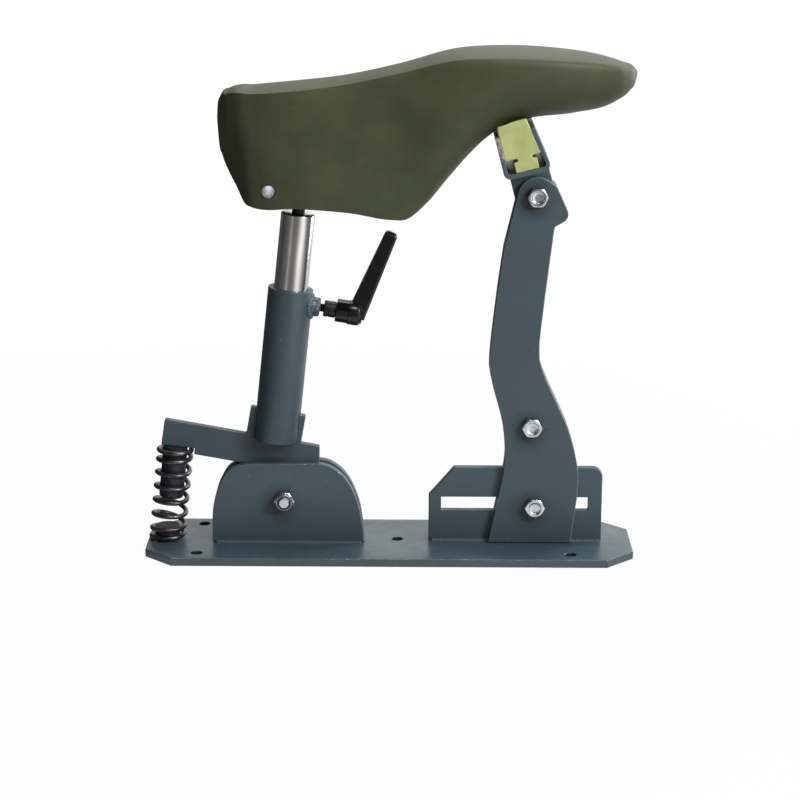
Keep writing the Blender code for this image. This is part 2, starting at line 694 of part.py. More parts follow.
# Heights from the last's seat: its keel (instep and vamp), and the sole's rim above it
KEEL = [
    (-0.0562, 0.0560), (-0.0555, 0.0455), (-0.0530, 0.0340), (-0.0490, 0.0235), (-0.0430, 0.0125),
    (-0.0370, 0.0018), (-0.0330, 0.0002), (0.0000, -0.0004), (0.0360, -0.0036), (0.0660, -0.0095),
    (0.0740, -0.0100), (0.0890, 0.0012), (0.1045, 0.0200), (0.1165, 0.0342), (0.1265, 0.0445),
    (0.1380, 0.0535), (0.1488, 0.0584), (0.1600, 0.0614), (0.1900, 0.0652), (0.2180, 0.0728),
    (0.2280, 0.0800), (0.2322, 0.0862), (0.2332, 0.0900),
]
RIM = [
    (-0.0562, 0.0610), (-0.0556, 0.0680), (-0.0535, 0.0750), (-0.0480, 0.0785), (-0.0300, 0.0798),
    (0.0010, 0.0826), (0.0355, 0.0873), (0.0700, 0.0948), (0.1110, 0.1048), (0.1390, 0.1062),
    (0.1800, 0.1046), (0.2080, 0.1012), (0.2240, 0.0975), (0.2312, 0.0955), (0.2332, 0.0935),
]
NEAR_WIDTH = [
    (-0.0562, 0.0030), (-0.0555, 0.0066), (-0.0520, 0.0140), (-0.0440, 0.0218), (-0.0280, 0.0282),
    (-0.0050, 0.0312), (0.0300, 0.0305), (0.0700, 0.0322), (0.1100, 0.0395), (0.1400, 0.0432),
    (0.1650, 0.0425), (0.1900, 0.0375), (0.2100, 0.0300), (0.2240, 0.0205), (0.2310, 0.0100),
    (0.2332, 0.0030),
]
FAR_WIDTH = [
    (-0.0562, 0.0030), (-0.0555, 0.0066), (-0.0520, 0.0140), (-0.0440, 0.0218), (-0.0280, 0.0278),
    (-0.0050, 0.0295), (0.0300, 0.0262), (0.0700, 0.0268), (0.1100, 0.0365), (0.1400, 0.0425),
    (0.1650, 0.0428), (0.1900, 0.0392), (0.2100, 0.0325), (0.2240, 0.0225), (0.2310, 0.0110),
    (0.2332, 0.0030),
]
CONE_WIDTH = [
    (-0.0562, 0.0006), (-0.0455, 0.0035), (-0.0400, 0.0090), (-0.0350, 0.0140), (-0.0250, 0.0170),
    (0.0000, 0.0200), (0.0360, 0.0180), (0.0640, 0.0120), (0.0780, 0.0060), (0.1000, 0.0028),
    (0.1400, 0.0016), (0.2280, 0.0010), (0.2332, 0.0006),
]


def last_section(place):
    """Closed section of the last at a place along it: sole, near side, cone face, far side."""
    keel = curve_through(KEEL, place)
    rim = curve_through(RIM, place)
    near = curve_through(NEAR_WIDTH, place)
    far = curve_through(FAR_WIDTH, place)
    cone = min(curve_through(CONE_WIDTH, place), 0.9 * near)
    forepart = float(np.clip((place - 0.06) / 0.05, 0, 1))
    power = 1.45 + 0.75 * forepart
    fade = 0.85 - 0.37 * forepart
    crown = 0.0022 * min(1.0, near / 0.03)
    points = []
    for share in np.linspace(-0.75, 0.75, 7):
        width = near if share < 0 else far
        points.append((share * width, rim + crown * (1 - share**2)))
    depths = (1 - np.cos(np.linspace(0.0, math.pi, 12))) / 2
    side = []
    for depth in depths:
        rolled = 1 - 0.07 * math.exp(-depth / 0.05)
        side.append((rolled * (1 - depth**power) ** fade, rim - depth * (rim - keel)))
    points += [(cone + (far - cone) * wide, z) for wide, z in side]
    points += [(0.0, keel)]
    points += [(-cone - (near - cone) * wide, z) for wide, z in side[::-1]]
    return points


def last(carrier):
    """Solid moulded last, its thimble on the pin and its pull-hole bush."""
    shape = bmesh.new()
    share = (1 - np.cos(np.linspace(0, math.pi, LAST_STATIONS))) / 2
    rings = []
    for place in LAST_HEEL + (LAST_TOE - LAST_HEEL) * share:
        ring = []
        for y, z in last_section(place):
            ring.append(shape.verts.new(LAST_SEAT + np.array([place, y, z])))
        rings.append(ring)
    shape.faces.new(rings[0])
    shape.faces.new(rings[-1])
    count = len(rings[0])
    for low, high in zip(rings, rings[1:]):
        for k in range(count):
            j = (k + 1) % count
            shape.faces.new((low[k], low[j], high[j], high[k]))
    olive = material("olive_last", (0.066, 0.073, 0.043), 0.0, 0.5)
    body = finish_mesh("last_body", shape, olive, carrier)

    bore = PIN_R + PIN_CLEARANCE
    outer = bore + THIMBLE_WALL
    bottom = LAST_LEVEL + PIN_IN_LAST
    drill("thimble_hole", body, TUBE_FOOT, AXIS, LAST_LEVEL - 0.02, bottom, outer + GAP, carrier)
    sleeve = [
        (LAST_LEVEL + 0.0015, bore), (LAST_LEVEL + 0.0015, outer), (bottom - GAP, outer),
        (bottom - GAP, bore),
    ]
    turned("last_thimble", TUBE_FOOT, AXIS, sleeve, zinc(), carrier, 32, hollow=True)

    centre = LAST_SEAT + np.array([BUSH_X, 0, BUSH_Z])
    drill("bush_hole", body, centre, (0, 1, 0), -0.05, 0.05, BUSH_R + GAP, carrier)
    section = last_section(BUSH_X)
    level = [abs(z - BUSH_Z) for _, z in section]
    near, far = min(level[: len(level) // 2]), min(level[len(level) // 2:])
    ends = [abs(section[level.index(value)][0]) for value in (near, far)]
    reach = min(ends) - 0.0004
    bush = [
        (-reach, BUSH_BORE_R), (-reach, BUSH_R - 0.0004), (0.0004 - reach, BUSH_R),
        (reach - 0.0004, BUSH_R), (reach, BUSH_R - 0.0004), (reach, BUSH_BORE_R),
    ]
    turned("pull_hole_bush", centre, (0, 1, 0), bush, zinc(), carrier, 32, hollow=True)


def rest_bolt():
    """(x, z) of the arm's top bolt, set by where the toe rest meets the last's vamp."""
    x = LAST_SEAT[0] + REST_CONTACT
    z = LAST_SEAT[2] + float(curve_through(KEEL, REST_CONTACT))
    reach = REST_RADIUS + GAP
    return x + reach * math.sin(REST_LEAN), z - reach * math.cos(REST_LEAN)


def rest_point(across, up):
    """(x, z) of a place in the toe rest's leaning frame."""
    x, z = rest_bolt()
    c, s = math.cos(REST_TURN), math.sin(REST_TURN)
    return x + across * c - up * s, z + across * s + up * c


def bracket():
    """Welded bracket with the arm's slot."""
    top = PLATE_TOP + BRACKET_HEIGHT
    corners = [
        (BRACKET_LEFT, SEAT_Z, 0), (BRACKET_RIGHT, SEAT_Z, 0), (BRACKET_RIGHT, top, BRACKET_ROUND),
        (BRACKET_LEFT + BRACKET_CUT_WIDTH, top, 0.001), (BRACKET_LEFT, top - BRACKET_CUT_HEIGHT, 0.001),
    ]
    plate = prism("arm_bracket", rounded(corners), -HALF_SHEET, HALF_SHEET, steel_paint())
    low = PLATE_TOP + SLOT_MIDDLE - SLOT_WIDTH / 2
    high = low + SLOT_WIDTH
    left, right = BRACKET_LEFT + SLOT_IN_LEFT, BRACKET_RIGHT - SLOT_IN_RIGHT
    slot = rounded([
        (left, low, 0.0008), (right, low, 0.0008), (right, high, 0.0008), (left, high, 0.0008),
    ])
    cut(plate, prism("bracket_slot", slot, -SHEET, SHEET, None, edge=0))


def arm_outline():
    """Swept outline: the foot is set from the slot's bolt and the head from the top bolt."""
    low_x, low_z = ARM_X, PLATE_TOP + SLOT_MIDDLE
    top_x, top_z = rest_bolt()
    foot = PLATE_TOP + ARM_FOOT

    def side(low, high):
        """Smooth edge through the low places and then the high ones."""
        knots = [(low_x + x, low_z + z) for x, z in low]
        return smooth(knots + [(top_x + x, top_z + z) for x, z in high], 4)

    nose = rounded([(top_x + x, top_z + z, radius) for x, z, radius in ARM_NOSE])[2:]
    start, end = math.radians(76), math.radians(172)
    cap = [
        (top_x + ARM_HEAD_R * math.cos(angle), top_z + ARM_HEAD_R * math.sin(angle))
        for angle in np.linspace(start, end, 9)
    ]
    left = side(ARM_LEFT_LOW, ARM_LEFT_HIGH)[::-1]
    right = side(ARM_RIGHT_LOW, ARM_RIGHT_HIGH)
    sole = [(low_x - ARM_FOOT_LEFT, foot), (low_x + ARM_FOOT_RIGHT, foot)]
    return [*sole, *right, *nose, *cap, *left]


def arm(carrier):
    """Two swept plates over the bracket, with their spacer and three bolts."""
    outline = arm_outline()
    top_x, top_z = rest_bolt()
    low_z = PLATE_TOP + SLOT_MIDDLE
    middle = (ARM_X - MIDDLE_BOLT_LEFT, low_z + MIDDLE_BOLT_UP)
    bolts = {"slot": (ARM_X, low_z), "spacer": middle, "toe_rest": (top_x, top_z)}
    for name, low in (("arm_plate_front", -OUTER_HIGH), ("arm_plate_back", OUTER_LOW)):
        plate = prism(name, outline, low, low + SHEET, steel_paint(), carrier)
        for use, (x, z) in bolts.items():
            drill(f"{name}_{use}_hole", plate, (x, 0, z), (0, 1, 0), low - 0.002,
                  low + SHEET + 0.002, HOLE_R, carrier, 24)
    face = OUTER_HIGH + GAP
    for use, (x, z) in bolts.items():
        tip = face + M8_NUT + THREAD_SHOWING
        hex_bolt(f"{use}_bolt", x, z, -face, tip, carrier)
        hex_nut(f"{use}_nut", x, z, face, 1, carrier)
    ring = [(-HALF_SHEET, HOLE_R), (-HALF_SHEET, SPACER_R), (HALF_SHEET, SPACER_R), (HALF_SHEET, HOLE_R)]
    turned("arm_spacer", (middle[0], 0, middle[1]), (0, 1, 0), ring, zinc(), carrier, hollow=True)


def toe_rest(carrier):
    """Bent channel on a tang, with the soft pad that bears on the last."""
    tang = rounded([
        (*rest_point(-TANG_LEFT, CHANNEL_BASE - GAP), 0), (*rest_point(-TANG_LEFT, -TANG_DROP), 0.007),
        (*rest_point(TANG_RIGHT, -TANG_DROP), 0.007), (*rest_point(TANG_RIGHT, CHANNEL_BASE - GAP), 0),
    ])
    x, z = rest_bolt()
    plate = prism("toe_rest_tang", tang, -HALF_SHEET, HALF_SHEET, steel_paint(), carrier)
    drill("tang_hole", plate, (x, 0, z), (0, 1, 0), -SHEET, SHEET, HOLE_R, carrier, 24)

    w = CHANNEL_WALL
    base = CHANNEL_BASE + w
    lean = CHANNEL_PINCH / (CHANNEL_TOP - CHANNEL_BASE)
    right_top = CHANNEL_RIGHT - CHANNEL_PINCH
    half = CHANNEL_WIDTH / 2
    channel = rounded([
        (*rest_point(-CHANNEL_LEFT, CHANNEL_BASE), CHANNEL_ROUND),
        (*rest_point(CHANNEL_RIGHT, CHANNEL_BASE), CHANNEL_ROUND),
        (*rest_point(right_top, CHANNEL_TOP), 0.0008),
        (*rest_point(right_top - w, CHANNEL_TOP), 0.0008),
        (*rest_point(CHANNEL_RIGHT - w - lean * w, base), CHANNEL_ROUND - w),
        (*rest_point(w - CHANNEL_LEFT, base), CHANNEL_ROUND - w),
        (*rest_point(w - CHANNEL_LEFT, CHANNEL_TOP - 0.0010), 0.0008),
        (*rest_point(-CHANNEL_LEFT, CHANNEL_TOP - 0.0010), 0.0008),
    ])
    prism("toe_rest_channel", channel, -half, half, steel_paint(), carrier)

    floor = base + GAP
    left = w - CHANNEL_LEFT + GAP
    inner = CHANNEL_RIGHT - w - GAP

    def right(up):
        return inner - lean * (up - CHANNEL_BASE) - 0.0003

    def crown(across):
        """Height in the leaning frame of the pad's top, an arc about the top bolt."""
        return math.sqrt(REST_RADIUS**2 - across**2)

    def pad(y):
        """Outline of the pad at a depth. Its top rises towards both ends, as a cradle."""
        lift = PAD_CRADLE * (y / half) ** 2
        across = np.linspace(right(crown(0) + lift), left + 0.0008, 9)
        return [
            rest_point(-FOOT_LEFT, floor), rest_point(FOOT_RIGHT, floor),
            rest_point(FOOT_RIGHT - 0.0004, NOTCH_TOP - HOOK_DEPTH - 0.0006),
            rest_point(FOOT_RIGHT - 0.0020, NOTCH_TOP - HOOK_DEPTH),
            rest_point(NECK_RIGHT + 0.0006, NOTCH_TOP - HOOK_DEPTH),
            rest_point(NECK_RIGHT, NOTCH_TOP - HOOK_DEPTH + 0.0006),
            rest_point(NECK_RIGHT, NOTCH_TOP), rest_point(right(NOTCH_TOP), NOTCH_TOP),
            *(rest_point(a, crown(a) + lift) for a in across),
            rest_point(left, NOTCH_TOP), rest_point(-NECK_LEFT, NOTCH_TOP),
            rest_point(-NECK_LEFT, NOTCH_TOP - HOOK_DEPTH + 0.0006),
            rest_point(-NECK_LEFT - 0.0006, NOTCH_TOP - HOOK_DEPTH),
            rest_point(0.0020 - FOOT_LEFT, NOTCH_TOP - HOOK_DEPTH),
            rest_point(0.0004 - FOOT_LEFT, NOTCH_TOP - HOOK_DEPTH - 0.0006),
        ]

    shape = bmesh.new()
    depths = (half - 0.0002) * np.linspace(-1, 1, 9)
    rows = [[shape.verts.new((x, y, z)) for x, z in pad(y)] for y in depths]
    for near, far in zip(rows[:-1], rows[1:]):
        for i, first in enumerate(near):
            j = (i + 1) % len(near)
            shape.faces.new((first, near[j], far[j], far[i]))
    bmesh.ops.triangulate(shape, faces=shape.faces[:])
    shape.faces.new(rows[0])
    shape.faces.new(rows[-1])
    rubber = material("clear_green_pad", (0.45, 0.50, 0.17), 0.0, 0.35)
    finish_mesh("toe_rest_pad", shape, rubber, carrier)


base()
hinge()
rocker_axis = joint_axis("rocker_axis", (PIVOT_X, 0, PIVOT_Z))
rocker(rocker_axis)
return_spring()
rod_axis = joint_axis("rod_axis", TUBE_FOOT + TUBE_HIGH * AXIS, rocker_axis)
pin_axis = joint_axis("pin_axis", TUBE_FOOT + ROD_HIGH * AXIS, rod_axis)
last_axis = joint_axis("last_axis", LAST_SEAT, pin_axis)
height_rod(rod_axis, pin_axis)
last(last_axis)
screw_axis = joint_axis("screw_axis", clamp_line()[0], rocker_axis)
handle_axis = joint_axis("handle_axis", clamp_line()[0], screw_axis)
clamp(screw_axis, handle_axis)
bracket()
arm_axis = joint_axis("arm_axis", (ARM_X, 0, PLATE_TOP + SLOT_MIDDLE))
arm(arm_axis)
rest_axis = joint_axis("rest_axis", (rest_bolt()[0], 0, rest_bolt()[1]), arm_axis)
toe_rest(rest_axis)
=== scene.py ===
"""Finished looks of a cobbler's last on its sprung lasting stand.

The sections follow the stand as it is put together: studio, base plate, hinge, rocker, return
spring, height rod, last, clamp lever, bracket, swept arm and toe rest. Sizes are in metres, in the
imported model's frame: +Z up, +X from heel to toe, the base plate centred on the origin.
"""
import math

import bmesh
import bpy
import numpy as np
from mathutils import Matrix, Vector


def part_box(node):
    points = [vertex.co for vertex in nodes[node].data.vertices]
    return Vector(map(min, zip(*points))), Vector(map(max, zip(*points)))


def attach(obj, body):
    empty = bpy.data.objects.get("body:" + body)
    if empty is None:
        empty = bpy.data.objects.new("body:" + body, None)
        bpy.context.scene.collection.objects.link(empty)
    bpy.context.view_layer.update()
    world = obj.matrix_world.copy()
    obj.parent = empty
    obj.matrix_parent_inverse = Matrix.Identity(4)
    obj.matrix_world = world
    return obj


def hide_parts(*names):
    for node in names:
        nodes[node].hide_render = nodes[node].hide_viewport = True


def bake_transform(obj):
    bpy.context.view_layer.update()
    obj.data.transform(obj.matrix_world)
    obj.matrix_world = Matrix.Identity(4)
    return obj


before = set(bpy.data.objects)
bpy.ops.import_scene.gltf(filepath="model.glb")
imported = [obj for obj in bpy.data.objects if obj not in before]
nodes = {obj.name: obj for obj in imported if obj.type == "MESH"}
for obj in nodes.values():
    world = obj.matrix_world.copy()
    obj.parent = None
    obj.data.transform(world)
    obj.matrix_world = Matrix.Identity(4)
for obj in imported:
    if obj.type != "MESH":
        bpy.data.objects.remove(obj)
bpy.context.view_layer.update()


# Studio: the stand is photographed square on from a little above, on a white sweep. Soft boxes
# stand in front on the right, high in front, above, and behind on the right. The camera's place
# and lens were fitted to the base plate's corners.
EYE = np.array([0.010, -1.565, 0.540])
YAW, PITCH, ROLL = np.radians([-0.10, 15.34, -0.25])
LENS_PIXELS, IMAGE_PIXELS = 2268, 800
SENSOR = 36.0
MM = 0.001
PAPER = (0.40, 0.40, 0.40)
WHITE = (1.0, 1.0, 1.0)


class Socket:
    """A shader socket that works in Python sums: each operator adds its own Math node."""

    def __init__(self, tree, socket=None):
        self.tree, self.socket = tree, socket

    def node(self, kind, settings=None, inputs=None, output=0):
        """Adds a shader node: its settings first, then the values or links of its sockets."""
        made = self.tree.nodes.new("ShaderNode" + kind)
        for name, value in (settings or {}).items():
            if name == "stops":
                band = made.color_ramp
                for _ in value[2:]:
                    band.elements.new(0.5)
                for stop, (place, colour) in zip(band.elements, value):
                    stop.position, stop.color = place, colour
            else:
                setattr(made, name, value)
        for name, value in (inputs or {}).items():
            entry = made.inputs[name]
            if isinstance(value, Socket):
                self.tree.links.new(value.socket, entry)
            elif entry.type == "RGBA":
                entry.default_value = (*value, 1.0)
            else:
                entry.default_value = value
        return Socket(self.tree, made.outputs[output] if made.outputs else None)

    def sum(self, operation, first, second):
        return self.node("Math", {"operation": operation}, {0: first, 1: second})

    def axis(self, number):
        """One of the three numbers of a vector socket."""
        return self.node("SeparateXYZ", None, {0: self}, number)

    def mapped(self, **how):
        """A vector socket that a Mapping node has stretched or turned."""
        return self.node("Mapping", None, {"Vector": self, **how})

    def __add__(self, other):
        return self.sum("ADD", self, other)

    def __sub__(self, other):
        return self.sum("SUBTRACT", self, other)

    def __rsub__(self, other):
        return self.sum("SUBTRACT", other, self)

    def __mul__(self, other):
        return self.sum("MULTIPLY", self, other)

    def __abs__(self):
        return self.sum("ABSOLUTE", self, 0.0)

    __radd__, __rmul__ = __add__, __mul__


def step(value, low, high):
    """0 below low, 1 above high, and smooth between them; low may be the larger one."""
    return value.node("MapRange", {"interpolation_type": "SMOOTHSTEP"},
                      {"Value": value, "From Min": low, "From Max": high})


def new_finish(name):
    """Empty node material, the socket that its nodes are added through, and the place on a piece."""
    made = bpy.data.materials.new(name)
    made.use_nodes = True
    made.node_tree.nodes.clear()
    root = Socket(made.node_tree)
    return made, root, root.node("TexCoord", output=3)


def tint(share, first, second):
    """Colour that goes from the first to the second as share goes from 0 to 1."""
    mix = {"data_type": "RGBA", "clamp_factor": True}
    return share.node("Mix", mix, {0: share, 6: first, 7: second}, 2)


ahead = np.array([np.sin(YAW) * np.cos(PITCH), np.cos(YAW) * np.cos(PITCH), -np.sin(PITCH)])
level = np.array([np.cos(YAW), -np.sin(YAW), 0.0])
under = np.cross(ahead, level)
right = np.cos(ROLL) * level + np.sin(ROLL) * under
under = np.cos(ROLL) * under - np.sin(ROLL) * level
stance = np.eye(4)
stance[:3] = np.stack([right, -under, -ahead, EYE], 1)
lens = bpy.data.cameras.new("camera")
lens.sensor_width = SENSOR
lens.lens = SENSOR * LENS_PIXELS / IMAGE_PIXELS
lens.clip_start, lens.clip_end = 0.05, 60.0
camera = bpy.data.objects.new("camera", lens)
camera.matrix_world = Matrix(stance.tolist())
bpy.context.scene.collection.objects.link(camera)
bpy.context.scene.camera = camera
bpy.context.scene.view_settings.view_transform = "Standard"


def lamp(name, place, aim, wide, tall, power):
    """Soft box: a rectangle at place that faces aim."""
    light = bpy.data.lights.new(name, "AREA")
    light.shape, light.size, light.size_y, light.energy = "RECTANGLE", wide, tall, power
    made = bpy.data.objects.new(name, light)
    back = np.array(place, float) - np.array(aim, float)
    back /= np.linalg.norm(back)
    side = np.cross((0.0, 0.0, 1.0), back)
    side /= np.linalg.norm(side)
    turn = np.eye(4)
    turn[:3] = np.stack([side, np.cross(back, side), back, place], 1)
    made.matrix_world = Matrix(turn.tolist())
    bpy.context.scene.collection.objects.link(made)


lamp("key light", (1.60, -1.60, 1.35), (0.0, 0.0, 0.10), 0.80, 0.80, 50.0)
lamp("front light", (0.16, -0.81, 1.41), (0.0, 0.0, 0.14), 0.32, 0.36, 4.8)
lamp("top light", (0.10, 0.45, 1.60), (0.0, 0.0, 0.05), 1.2, 0.8, 13.0)
lamp("right rim light", (1.25, 0.70, 0.50), (0.0, 0.0, 0.18), 0.4, 1.0, 11.0)


def rays_that_see(root):
    """1 for camera rays, and 1 for rays in a mirror or in clear plastic."""
    path = root.node("LightPath").socket.node
    camera_ray, glossy_ray, clear_ray = (Socket(root.tree, path.outputs[name]) for name in
                                         ("Is Camera Ray", "Is Glossy Ray", "Is Transmission Ray"))
    return camera_ray + clear_ray, glossy_ray


# The sweep glows white where it is seen, less where the stand's soft shadow falls, and not under
# the base plate, so the plate's holes are dark. In a mirror it is bright close in front, and beyond
# that a ring of light and dark cards stands round it, which draws the streaks on the rod: a card's
# place is its azimuth, which starts at the back and passes the left side, the front at one half,
# and the right side.
CARDS = [(0.00, 0.14), (0.10, 0.09), (0.20, 0.07), (0.30, 0.13), (0.38, 0.20), (0.41, 0.62),
         (0.44, 0.24), (0.49, 0.24), (0.53, 0.34), (0.57, 1.00), (0.60, 1.60), (0.64, 1.35),
         (0.68, 0.55), (0.73, 0.17), (0.76, 0.22), (0.79, 0.62), (0.84, 0.80), (0.92, 0.90),
         (1.00, 0.90)]
CARD_TOP, NEAR_PAPER, SWEEP_GLOW, ROOM_UNSEEN = 1.6, 1.05, 1.045, 0.05
COVERED_X, COVERED_Y, COVERED_CORNER, COVERED_BLUR = 0.170, 0.041, 0.195, 0.002
FLOOR_HALF, FLOOR_Z = 9.0, -2e-4


def studio_cards(way):
    """Brightness of the ring of cards in the direction way, read by its azimuth alone."""
    turned_way = way.mapped(Rotation=(0.0, 0.0, math.pi / 2))
    azimuth = way.node("TexGradient", {"gradient_type": "RADIAL"}, {"Vector": turned_way}, 1)
    stops = [(at, (value / CARD_TOP,) * 3 + (1.0,)) for at, value in CARDS]
    return way.node("ValToRGB", {"stops": stops}, {"Fac": azimuth}) * CARD_TOP


sweep, root, place = new_finish("white sweep")
away = root.node("VectorMath", {"operation": "LENGTH"}, {0: place}, 1)
straight, mirrored = rays_that_see(root)
paper = root.node("BsdfDiffuse", None, {"Color": PAPER})
glow = root.node("Emission", None, {"Color": WHITE, "Strength": SWEEP_GLOW})
x, y = place.axis(0), place.axis(1)
near = step(away, 0.50, 0.28) * step(x, -0.24, -0.16) * step(y, 0.02, -0.05)
bright = studio_cards(place) * (1.0 - near) + near * NEAR_PAPER
card_glow = root.node("Emission", None, {"Color": WHITE, "Strength": bright})
covered = 1.0
for reach, limit in ((abs(x), COVERED_X), (abs(y), COVERED_Y), (abs(x) + abs(y), COVERED_CORNER)):
    covered = step(reach, limit + COVERED_BLUR, limit - COVERED_BLUR) * covered
open_floor = (step(away, 0.30, 1.30) * 0.09 + 0.91) * (1.0 - covered)
look = root.node("MixShader", None, {0: straight * open_floor, 1: paper, 2: glow})
look = root.node("MixShader", None, {0: mirrored, 1: look, 2: card_glow})
root.node("OutputMaterial", None, {"Surface": look})
cloth = bpy.data.meshes.new("floor")
cloth.from_pydata([(FLOOR_HALF * x, FLOOR_HALF * y, FLOOR_Z) for x, y in
                   ((-1, -1), (1, -1), (1, 1), (-1, 1))], [], [(0, 1, 2, 3)])
cloth.materials.append(sweep)
floor = bpy.data.objects.new("floor", cloth)
bpy.context.scene.collection.objects.link(floor)

# The world is white where it is seen. In a mirror the cards in front go on a little above the
# floor, and the wall behind is darker on the left, with a dim strip a little right of its middle.
world = bpy.data.worlds.new("room")
bpy.context.scene.world = world
world.use_nodes = True
world.node_tree.nodes.clear()
root = Socket(world.node_tree)
way = root.node("TexCoord", output=0)
way_x, way_y, way_z = (way.axis(number) for number in range(3))
straight, mirrored = rays_that_see(root)
back_wall = (step(way_y, -0.60, 0.60) * 1.15 + 0.20) * (step(way_x, -0.35, 0.12) * 0.92 + 0.08)
back_wall = back_wall * (1.0 - 0.18 * step(way_x, 0.02, 0.10) * step(way_x, 0.50, 0.25))
front = step(way_y, 0.10, -0.15) * step(way_z, 0.42, 0.16)
room = back_wall * (1.0 - front) + studio_cards(way) * front
unseen = root.sum("MAXIMUM", 1.0 - straight - mirrored, 0.0)
room_light = root.node("Background", None,
                       {"Color": WHITE, "Strength": straight + mirrored * room + unseen * ROOM_UNSEEN})
root.node("OutputWorld", None, {"Surface": room_light})


# Base plate: 6 mm flame-cut steel with cut corners and five screw holes, powder coated dark
# blue-grey. Its rims are eased and its holes lightly countersunk.
COAT = (0.057, 0.094, 0.113)
# Pale dust colour, which is also the colour of the painted edge highlight along rims.
PALE_DUST_AND_HIGHLIGHT = (0.30, 0.33, 0.35)
BARE_STEEL = (0.46, 0.44, 0.43)
PEEL_DEEP = 0.000035


def close_finish(root, colour, rough, height, deep, others):
    """Principled surface whose relief is the height times deep, with its other sockets by name."""
    relief = root.node("Bump", None, {"Strength": 1.0, "Distance": deep, "Height": height})
    sockets = {"Base Color": colour, "Roughness": rough, "Normal": relief, **others}
    skin = root.node("BsdfPrincipled", None, sockets)
    root.node("OutputMaterial", None, {"Surface": skin})


def noise(place, scale, detail=2.0, rough=0.5):
    """Noise from 0 to 1 with about scale waves to a metre."""
    return place.node("TexNoise", None,
                      {"Vector": place, "Scale": scale, "Detail": detail, "Roughness": rough})


def powder_coat(name, shade=1.0, dust=0.25, worn=0.6, satin=0.41, foot_shade=0.38, edge=0.0, painted_shadows=(),
                across=(1.0, 0.0, 1.0), coat=COAT):
    """Satin powder coat over steel.

    Colour is the coat times shade, a painted shade factor that gives some parts a darker copy of
    the same coat. It is darkened by slow clouds and by a painted shade towards the base, in the last
    35 mm above it, with pale dust where two noises peak together, a pale line along the rims that is
    a painted edge highlight, and bare steel where the rim attribute times a noise passes a limit. A
    painted shadow darkens the coat round a place: seen along the axis that across leaves out, it is
    full inside its first radius and gone at its second. Relief is orange peel of 0.9 mm waves with a
    finer grain on it.
    """
    # Painted shade: a shade below 1 gives a part a darker copy of the same powder coat.
    coat = shade * np.array(coat)
    made, root, place = new_finish(name)
    cloud = noise(place, 22.0, 3.0)
    peel = noise(place, 1100.0, 1.5)
    grain = noise(place, 5200.0, 1.0)
    speck = step(noise(place, 620.0, 0.0), 0.765, 0.80)
    drift = step(noise(place, 40.0, 2.0), 0.50, 0.66)
    # Painted shade: the coat darkens towards the bottom of each part, near the base.
    foot_shade_mask = step(place.axis(2) + 0.012 * cloud, 0.062, 0.014) * foot_shade
    rub = noise(place.mapped(Scale=(1.0, 1.0, 7.0)), 60.0, 4.0, 0.65)
    rim = root.node("Attribute", {"attribute_name": "rim"}, output=2)
    limit = 1.02 - 0.25 * worn
    chip = step(rim * (0.35 + noise(place, 260.0, 4.0, 0.7)), limit, limit + 0.10)
    scuff = step(rim, 0.15, 0.9) * step(noise(place, 90.0, 3.0), 0.42, 0.62) * worn
    colour = tint(step(cloud, 0.30, 0.72), 0.86 * coat, coat)
    colour = tint(foot_shade_mask, colour, 0.2 * coat)
    seen = root.node("VectorMath", {"operation": "MULTIPLY"}, {0: place, 1: across})
    # Painted shadows: each one darkens the coat round its place, where a cast shadow or shade falls.
    for centre, full, gone, share in painted_shadows:
        spread = root.node("VectorMath", {"operation": "DISTANCE"}, {0: seen, 1: centre}, 1)
        ragged = spread + (gone - full) * 0.4 * (cloud - 0.5)
        colour = tint(step(ragged, gone, full) * share, colour, 0.2 * coat)
    colour = tint(speck * drift * dust, colour, PALE_DUST_AND_HIGHLIGHT)
    colour = tint(scuff * 0.28, colour, PALE_DUST_AND_HIGHLIGHT)
    # Painted edge highlight: a pale line along the rims' arrises.
    colour = tint(step(rim, 0.2, 0.7) * edge, colour, PALE_DUST_AND_HIGHLIGHT)
    colour = tint(chip, colour, BARE_STEEL)
    rough = satin + 0.10 * step(rub, 0.35, 0.65) + 0.05 * grain + speck * 0.1
    relief = peel + 0.22 * grain
    close_finish(root, colour, rough, relief, PEEL_DEEP, {"IOR": 1.5, "Metallic": chip * 0.9})
    return made


coat = powder_coat("powder coat")


def grid_faces(rows, columns, ring):
    """Quads between closed rows of points; in a ring the last row joins the first, else caps end it."""
    r = np.arange(rows if ring else rows - 1)[:, None] * columns
    c = np.arange(columns)[None, :]
    r_next, c_next = (r + columns) % (rows * columns), (c + 1) % columns
    quads = np.stack([r + c, r + c_next, r_next + c_next, r_next + c], -1).reshape(-1, 4).tolist()
    caps = [list(range(columns)), list(range((rows - 1) * columns, rows * columns))]
    return quads if ring else quads + caps


def piece(name, rows, finish, body, flat=0, rim=None, crease=35, stands_for=None, ring=False,
          faces=None):
    """Makes a closed mesh from rows of points; the last so many faces are flat ends.

    It replaces the solid that it stands for, which is the one of its own name if none is given.
    """
    name = name.replace(" ", "_")
    mesh = bpy.data.meshes.new(name)
    mesh.from_pydata(rows.reshape(-1, 3).tolist(), [], faces or grid_faces(*rows.shape[:2], ring))
    if rim is not None:
        mesh.attributes.new("rim", "FLOAT", "POINT").data.foreach_set("value", np.ravel(rim))
    shape = bmesh.new()
    shape.from_mesh(mesh)
    bmesh.ops.recalc_face_normals(shape, faces=shape.faces)
    shape.to_mesh(mesh)
    shape.free()
    mesh.shade_smooth()
    mesh.set_sharp_from_angle(angle=math.radians(crease))
    if flat:
        smooth = np.arange(len(mesh.polygons)) < len(mesh.polygons) - flat
        mesh.polygons.foreach_set("use_smooth", smooth)
    mesh.materials.append(finish)
    made = bpy.data.objects.new(name, mesh)
    bpy.context.scene.collection.objects.link(made)
    if body:
        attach(made, body)
    if stands_for or name in nodes:
        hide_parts(stands_for or name)
    return made


